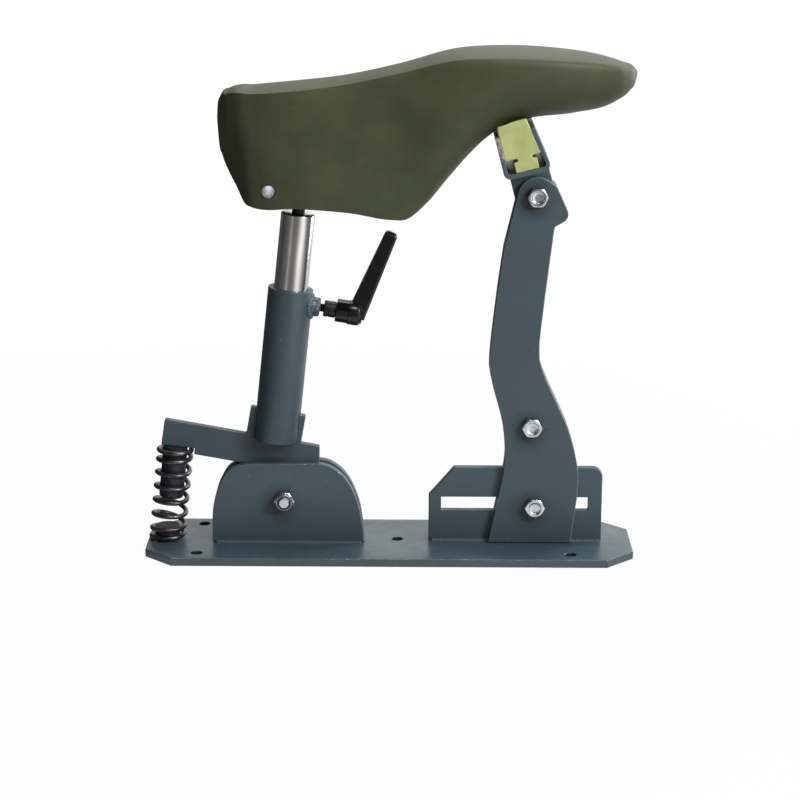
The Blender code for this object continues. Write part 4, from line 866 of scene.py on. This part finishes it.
half_bush = [(-reach + 0.0003, BUSH_BORE), (-reach, BUSH_BORE + 0.0003), (-reach, BUSH_R - 0.0004),
             (0.0004 - reach, BUSH_R)]
bush = half_bush + [(-at, radius) for at, radius in half_bush[::-1]]
turned("pull hole bush", drill_at + (0, (front + back) / 2, 0), (0, 1, 0), bush, zinc, "last",
       ring=True)
dress("last_thimble", zinc)


# Clamp lever: an indexing lever of glass-filled black plastic on a splined steel insert. The
# insert's stud runs through the boss on to the rod; a screw and a small spring hold the lever.
COLLAR_AT, COLLAR_R = 0.0246, 0.0058
COLLAR_END, CORE_END = COLLAR_AT + 0.0088, COLLAR_AT + 0.0188
HUB_END, HUB_R, HUB_CAP_R = COLLAR_END + 0.0189, 0.0082, 0.0088
HANDLE_LEAN, HANDLE_LENGTH = math.radians(23.3), 0.0638
HANDLE_WIDE, HANDLE_TIP_WIDE, HANDLE_THICK, HANDLE_DOME = 0.0066, 0.0046, 0.0044, 0.0030
STUD_R, THREAD_DEEP = 0.0030, 0.0004
black_plastic, root, place = new_finish("black lever plastic")
spark = noise(place, 4200.0, 2.0, 0.6)
shine = noise(place, 260.0, 3.0)
close_finish(root, tint(shine, (0.0020, 0.0023, 0.0026), (0.005, 0.005, 0.006)),
             0.15 + 0.08 * shine + 0.05 * spark, spark, 0.000002, {"IOR": 1.45})
groove = COLLAR_R - 0.0003
insert = [(COLLAR_AT + along, radius) for along, radius in (
    (0, 0.0033), (0, 0.0050), (0.0003, groove), (0.0008, COLLAR_R), (0.0030, COLLAR_R),
    (0.0033, groove), (0.0038, groove), (0.0041, COLLAR_R), (0.0082, COLLAR_R), (0.0085, groove),
    (0.0085, 0.0050), (0.0188, 0.0050), (0.0188, 0.0023), (0.0103, 0.0023), (0.0099, 0.0033))]
turned("clamp insert", CLAMP_START, CLAMP_ALONG, insert, black_steel, "clamp_screw",
       ring=True)
thread = np.linspace(0.0222, 0.0246, 5)
stud = [(0.0123, 0.0024), (0.0129, STUD_R), (0.0221, STUD_R)]
stud += [pair for at in thread for pair in ((at, STUD_R), (at + 0.0003, STUD_R - THREAD_DEEP))]
turned("clamp stud", CLAMP_START, CLAMP_ALONG, stud + [(0.0308, STUD_R)], black_steel, "clamp_screw",
       sides=48)
hub = [(COLLAR_END + along, radius) for along, radius in (
    (0, 0.0054), (0, 0.0076), (0.0002, 0.0080), (0.0006, HUB_R), (0.0086, HUB_R), (0.0090, 0.0084),
    (0.0092, 0.0087), (0.0096, HUB_CAP_R))]
hub += [(HUB_END - along, radius) for along, radius in (
    (0.0030, HUB_CAP_R), (0.0026, 0.0087), (0.0004, 0.0071), (0, 0.0067), (0, 0.0049),
    (0.0003, 0.0047))]
hub += [(CORE_END + along, radius) for along, radius in (
    (0.0030, 0.0047), (0.0030, 0.0025), (0.0003, 0.0025), (0.0003, 0.0053))]
turned("clamp hub", CLAMP_START, CLAMP_ALONG, hub, black_plastic, "clamp_handle",
       "clamp_handle", sides=96, ring=True)


def lever_arm(root_at):
    """Tapered lever: rounded-box sections carried up its lean to a domed tip.

    A section is wide x sign(cos a) |cos a| ** 0.34 across and thick x sign(sin a) |sin a| ** 0.34
    through; wide goes evenly from root to tip, and both shrink as a quarter circle at the tip.
    """
    lean = np.array([math.sin(HANDLE_LEAN), 0.0, math.cos(HANDLE_LEAN)])
    side = np.array([math.cos(HANDLE_LEAN), 0.0, -math.sin(HANDLE_LEAN)])
    straight = HANDLE_LENGTH - HANDLE_DOME
    dome = np.radians(np.linspace(0, 86, 10))
    along = np.concatenate([np.linspace(0.0, straight, 30)[:-1], straight + HANDLE_DOME * np.sin(dome)])
    lost = HANDLE_DOME * np.concatenate([np.zeros(29), 1 - np.cos(dome)])
    taper = HANDLE_WIDE + np.minimum(along / straight, 1) * (HANDLE_TIP_WIDE - HANDLE_WIDE)
    wide = (1 - lost / HANDLE_TIP_WIDE) * taper
    a = 2 * math.pi * (np.arange(72) + 0.5) / 72
    c, s = (np.sign(f(a)) * np.abs(f(a)) ** 0.34 for f in (np.cos, np.sin))
    return (root_at + along[:, None, None] * lean + (wide[:, None] * c)[..., None] * side
            + ((HANDLE_THICK - lost)[:, None] * s)[..., None] * np.array([0.0, 1.0, 0.0]))


piece("clamp arm", lever_arm(CLAMP_START + (HUB_END - 0.0042) * CLAMP_ALONG), black_plastic,
      "clamp_handle", 1, crease=40, stands_for="clamp_handle")
head = HUB_END - 0.0010
screw = [(COLLAR_AT + 0.0106, 0.0020), (head, 0.0020), (head, 0.0044), (HUB_END + 0.0013, 0.0044),
         (HUB_END + 0.0017, 0.0042), (HUB_END + 0.0019, 0.0038), (HUB_END + 0.0019, 0.0023),
         (HUB_END + 0.0017, 0.0021), (HUB_END + 0.0002, 0.0020, 0.0017), (HUB_END + 0.0001, 0.0004)]
turned("clamp screw", CLAMP_START, CLAMP_ALONG, screw, black_steel, "clamp_screw",
       "clamp_retaining_screw")
dress("clamp_handle_spring", zinc)


# Bracket: a 6 mm plate welded upright on the base's middle line, with one corner cut away and the
# long slot that the arm's lowest bolt slides in.
BRACKET_LEFT, BRACKET_RIGHT, BRACKET_TOP = 0.0283, 0.1535, 0.0615
SLOT_LEFT, SLOT_RIGHT, SLOT_LOW, SLOT_HIGH = 0.0373, 0.1436, 0.0291, 0.0391


def rays(outline, centre, angle):
    """Where rays from the centre leave an outline.

    On the edge P to Q that a ray d crosses, the share along it is (d x P) / (d x P - d x Q).
    """
    spoke = outline - centre
    at = np.arctan2(spoke[:, 1], spoke[:, 0])
    order = np.argsort(at)
    at, spoke = at[order], spoke[order]
    k = np.searchsorted(at, angle, side="right") - 1
    p, q = spoke[k], spoke[(k + 1) % len(at)]
    d = np.stack([np.cos(angle), np.sin(angle)], 1)
    past_p = d[:, 0] * p[:, 1] - d[:, 1] * p[:, 0]
    past_q = d[:, 0] * q[:, 1] - d[:, 1] * q[:, 0]
    return centre + p + (past_p / (past_p - past_q))[:, None] * (q - p)


outer = tidy(rounded_path([
    (BRACKET_LEFT, PLATE_TOP + GAP, 0.0008), (BRACKET_RIGHT, PLATE_TOP + GAP, 0.0008),
    (BRACKET_RIGHT, BRACKET_TOP, 0.007), (BRACKET_LEFT + 0.0183, BRACKET_TOP, 0.001),
    (BRACKET_LEFT, BRACKET_TOP - 0.0213, 0.001)], 9))
slot = tidy(rounded_path([
    (SLOT_LEFT, SLOT_LOW, 0.0008), (SLOT_RIGHT, SLOT_LOW, 0.0008), (SLOT_RIGHT, SLOT_HIGH, 0.0008),
    (SLOT_LEFT, SLOT_HIGH, 0.0008)]))
slot_middle = np.array([(SLOT_LEFT + SLOT_RIGHT) / 2, (SLOT_LOW + SLOT_HIGH) / 2])
spokes = [np.arctan2(*(outline - slot_middle).T[::-1]) for outline in (outer, slot)]
angle = np.unique(np.concatenate([*spokes, np.linspace(-math.pi, math.pi, 240)[1:-1]]).round(7))
outer, slot = rays(outer, slot_middle, angle), rays(slot, slot_middle, angle)
(outer_in, outer_deep), (slot_in, slot_deep) = eased(EASE), eased(0.0005)
rows_in = np.concatenate([outer_in, outer_in[::-1], -slot_in, -slot_in[::-1]])
rows_y = np.concatenate([outer_deep - SHEET_MIDDLE, SHEET_MIDDLE - outer_deep[::-1],
                         SHEET_MIDDLE - slot_deep, slot_deep[::-1] - SHEET_MIDDLE])
side_of = np.repeat([0, 1], 12)
outline = np.stack([outer, slot])[side_of]
push = np.stack([inward(outer), inward(slot)])[side_of]
flat = outline + rows_in[:, None, None] * push
rows = np.insert(flat, 1, rows_y[:, None], axis=2)
count = len(angle)
quads = np.array(grid_faces(24, count, ring=True)).reshape(24, count, 4)
order = [*range(11), *range(12, 23), 11, 23]
rim = np.broadcast_to(np.tile([*ARRIS, *ARRIS[::-1]], 2)[:, None], rows.shape[:2])
piece("slotted bracket", rows, coat, "stand", 2 * count, rim,
      stands_for="arm_bracket", faces=quads[order].reshape(-1, 4).tolist())
foot = np.linspace((BRACKET_LEFT + 0.001, PLATE_TOP), (BRACKET_RIGHT - 0.001, PLATE_TOP), 420)
weld_pair("bracket", foot, SHEET_MIDDLE, (0, 0, 1), "stand", 0.0019)


# Swept arm: two 6 mm plates cut to the same curve clasp the bracket. The lowest bolt clamps them
# at any place in the slot, the middle one holds a spacer, and the top one carries the toe rest.
ARM_BOLT = np.array([0.1045, 0.0341])
REST_BOLT = np.array([0.102467, 0.259902])
ARM_LEFT = MM * np.array([(-23.0, 22.5), (-21.5, 40.0), (-24.6, 64.5), (-32.0, 92.5)])
ARM_LEFT_HIGH = MM * np.array([(-31.6, -117.0), (-27.4, -73.5), (-22.8, -37.5)])
ARM_RIGHT = MM * np.array([(30.7, 8.5), (30.7, 27.5), (23.3, 57.0), (5.0, 98.5)])
ARM_RIGHT_HIGH = MM * np.array([(3.4, -108.5), (6.3, -73.5)])
ARM_NOSE = MM * np.array([(11.2, -27.0, 1.0), (12.5, -21.2, 0.8), (23.5, -15.0, 7.5), (13.0, 7.6, 6.0),
                          (7.0, 11.4, 0.0)])


def arm_side(low, high):
    """Smooth edge through the places by the slot's bolt and then those by the top bolt."""
    return smooth_path(np.concatenate([ARM_BOLT + low, REST_BOLT + high]), 12)


steps = 9
nose = rounded_path(ARM_NOSE + (*REST_BOLT, 0), steps)[steps - 1:]
turn = np.radians(np.linspace(76, 172, 26))[:, None]
head = REST_BOLT + 0.0138 * np.concatenate([np.cos(turn), np.sin(turn)], 1)
foot_z = PLATE_TOP + 0.0008
outline = np.concatenate([[(ARM_BOLT[0] - 0.0330, foot_z), (ARM_BOLT[0] + 0.0265, foot_z)],
                          arm_side(ARM_RIGHT, ARM_RIGHT_HIGH), nose, head,
                          arm_side(ARM_LEFT, ARM_LEFT_HIGH)[::-1]])
bolts = {"slot": ARM_BOLT, "spacer": ARM_BOLT + (-0.0029, 0.0598), "toe_rest": REST_BOLT}
# The arm's coat is a darker painted-shade copy, with a painted edge highlight on its rims and painted
# shadows round its three bolts.
arm_coat = powder_coat("arm coat", shade=0.90, worn=0.8, edge=0.45,
                       painted_shadows=[bolt_shadow(x, z, 0.019) for x, z in bolts.values()])
sheet_metal("arm plate front", outline, -SHEET_OUT, -SHEET_IN, "arm", arm_coat)
sheet_metal("arm plate back", outline, SHEET_IN, SHEET_OUT, "arm", arm_coat)
for use, (x, z) in bolts.items():
    hex_screw(f"{use} bolt", x, z, -face, 0.0083, "arm")
    hex_nut(f"{use} nut", x, z, face, "arm")
dress("arm_spacer", zinc)


# Toe rest: a 3 mm strap bent into a channel and welded on a tang between the arm's plates. Its
# leg tops have lost their paint. A block of clear yellow-green urethane sits in it on a neck.
REST_TURN, REST_RADIUS = math.radians(14.7), 0.0539
CHANNEL_BASE, CHANNEL_TOP, CHANNEL_WALL, CHANNEL_HALF = 0.0200, 0.0512, 0.003, 0.031
CHANNEL_LEFT, CHANNEL_RIGHT, PINCH = 0.0193, 0.0141, 0.0053
NOTCH_TOP, HOOK, CRADLE = 0.0330, 0.0022, 0.0048
FOOT_LEFT, FOOT_RIGHT, NECK_LEFT, NECK_RIGHT = -0.0108, 0.0055, -0.0078, 0.0026
URETHANE = (0.57, 0.61, 0.26)


def on_rest(across, up):
    """(x, z) of places in the toe rest's leaning frame, which starts at the top bolt."""
    c, s = math.cos(REST_TURN), math.sin(REST_TURN)
    return REST_BOLT + np.stack([across * c - up * s, across * s + up * c], -1)


def rest_path(corners, steps):
    """Rounded path in the toe rest's leaning frame."""
    return rounded_path([(*on_rest(across, up), radius) for across, up, radius in corners], steps)


worn_strap, root, place = new_finish("worn strap coat")
peel = noise(place, 1100.0, 1.5)
grain = noise(place, 5200.0, 1.0)
scar = noise(place, 380.0, 5.0, 0.75)
from_x, from_z = place.axis(0) - REST_BOLT[0], place.axis(2) - REST_BOLT[1]
rise = from_z * math.cos(REST_TURN) - from_x * math.sin(REST_TURN)
over = from_z * math.sin(REST_TURN) + from_x * math.cos(REST_TURN)
rim = root.node("Attribute", {"attribute_name": "rim"}, output=2)
bare = step(rise * 38.0 + 0.70 * scar + 0.12 * rim - step(over, -0.002, 0.004), 1.62, 1.80)
colour = tint(step(rim * (0.4 + scar), 0.62, 0.86) * 0.4, COAT, PALE_DUST_AND_HIGHLIGHT)
scraped = tint(step(scar, 0.38, 0.62), (0.13, 0.13, 0.13), (0.42, 0.41, 0.40))
colour = tint(bare, colour, scraped)
close_finish(root, colour, 0.42 - 0.08 * bare + 0.1 * scar, peel + 0.22 * grain - 0.8 * bare,
             PEEL_DEEP, {"IOR": 1.5, "Metallic": bare * 0.35})
base = CHANNEL_BASE + CHANNEL_WALL
lean = PINCH / (CHANNEL_TOP - CHANNEL_BASE)
right_top = CHANNEL_RIGHT - PINCH
tang = [(-0.0158, CHANNEL_BASE - GAP, 0.0008), (-0.0158, -0.012, 0.007), (0.0125, -0.012, 0.007),
        (0.0125, CHANNEL_BASE - GAP, 0.0008)]
sheet_metal("toe rest tang", rest_path(tang, 7), -SHEET_MIDDLE, SHEET_MIDDLE, "toe_rest")
channel = [
    (-CHANNEL_LEFT, CHANNEL_BASE, 0.005), (CHANNEL_RIGHT, CHANNEL_BASE, 0.005),
    (right_top, CHANNEL_TOP, 0.0008), (right_top - CHANNEL_WALL, CHANNEL_TOP, 0.0008),
    (CHANNEL_RIGHT - CHANNEL_WALL - lean * CHANNEL_WALL, base, 0.002),
    (CHANNEL_WALL - CHANNEL_LEFT, base, 0.002),
    (CHANNEL_WALL - CHANNEL_LEFT, CHANNEL_TOP - 0.0010, 0.0008),
    (-CHANNEL_LEFT, CHANNEL_TOP - 0.0010, 0.0008),
]
sheet_metal("toe rest channel", rest_path(channel, 10), -CHANNEL_HALF, CHANNEL_HALF, "toe_rest",
            worn_strap, ease=0.0005)
seam = np.linspace(on_rest(-0.0150, CHANNEL_BASE), on_rest(0.0118, CHANNEL_BASE), 100)
down = (math.sin(REST_TURN), 0, -math.cos(REST_TURN))
weld_pair("tang", seam, SHEET_MIDDLE, down, "toe_rest", 0.0018)

urethane, root, place = new_finish("clear green urethane")
haze = noise(place, 70.0, 2.0)
cast = noise(place, 900.0, 2.0)
close_finish(root, tint(step(haze, 0.34, 0.68), (0.47, 0.52, 0.20), URETHANE),
             0.34 + 0.14 * haze + 0.05 * cast, cast, 0.00002,
             {"IOR": 1.5, "Subsurface Weight": 0.55, "Subsurface Radius": (1.0, 1.0, 0.45),
              "Subsurface Scale": 0.006, "Coat Roughness": 0.12, "Coat Weight": 0.25 + 0.15 * haze})


def urethane_rows():
    """Soft block between the channel's legs, cast with a neck and a foot, as rows of points.

    Its outline is a rounded path in the leaning frame. Its top is an arc of the rest's radius about
    the top bolt; at a depth y it rises by cradle x (y / half depth) squared, along the leg's lean.
    """
    left, right = CHANNEL_WALL - CHANNEL_LEFT + 0.0001, CHANNEL_RIGHT - CHANNEL_WALL - 0.0001
    low, under, top = base + GAP, NOTCH_TOP - HOOK, REST_RADIUS - 0.0010
    crown = [(across, math.sqrt(REST_RADIUS**2 - across**2), 0.0030)
             for across in (0.0050, 0, -0.0050, -0.0100)]
    path = tidy(rounded_path([
        (FOOT_LEFT, low, 0.0008), (FOOT_RIGHT, low, 0.0008), (FOOT_RIGHT, under, 0.0008),
        (NECK_RIGHT, under, 0.0009), (NECK_RIGHT, NOTCH_TOP, 0.0009),
        (right - lean * (NOTCH_TOP - CHANNEL_BASE), NOTCH_TOP, 0.0009),
        (right - lean * (top - CHANNEL_BASE), top, 0.0012), *crown, (left, top - 0.0002, 0.0012),
        (left, NOTCH_TOP, 0.0009), (NECK_LEFT, NOTCH_TOP, 0.0009), (NECK_LEFT, under, 0.0009),
        (FOOT_LEFT, under, 0.0008)]))
    half = CHANNEL_HALF - 0.0002
    inset, deep = eased(EASE)
    inset = np.concatenate([inset, np.zeros(17), inset[::-1]])
    middle = np.linspace(EASE - half, half - EASE, 19)[1:-1]
    depth = np.concatenate([deep - half, middle, half - deep[::-1]])[:, None]
    across, up = np.moveaxis(path + inset[:, None, None] * inward(path), -1, 0)
    lift = CRADLE * (depth / half) ** 2 * np.clip((up - 0.040) / 0.010, 0, 1)
    across = across - lean * lift * np.clip((across - left) / (right - left), 0, 1)
    return np.insert(on_rest(across, up + lift), 1, depth, axis=2)


piece("toe rest pad", urethane_rows(), urethane, "toe_rest", 2)
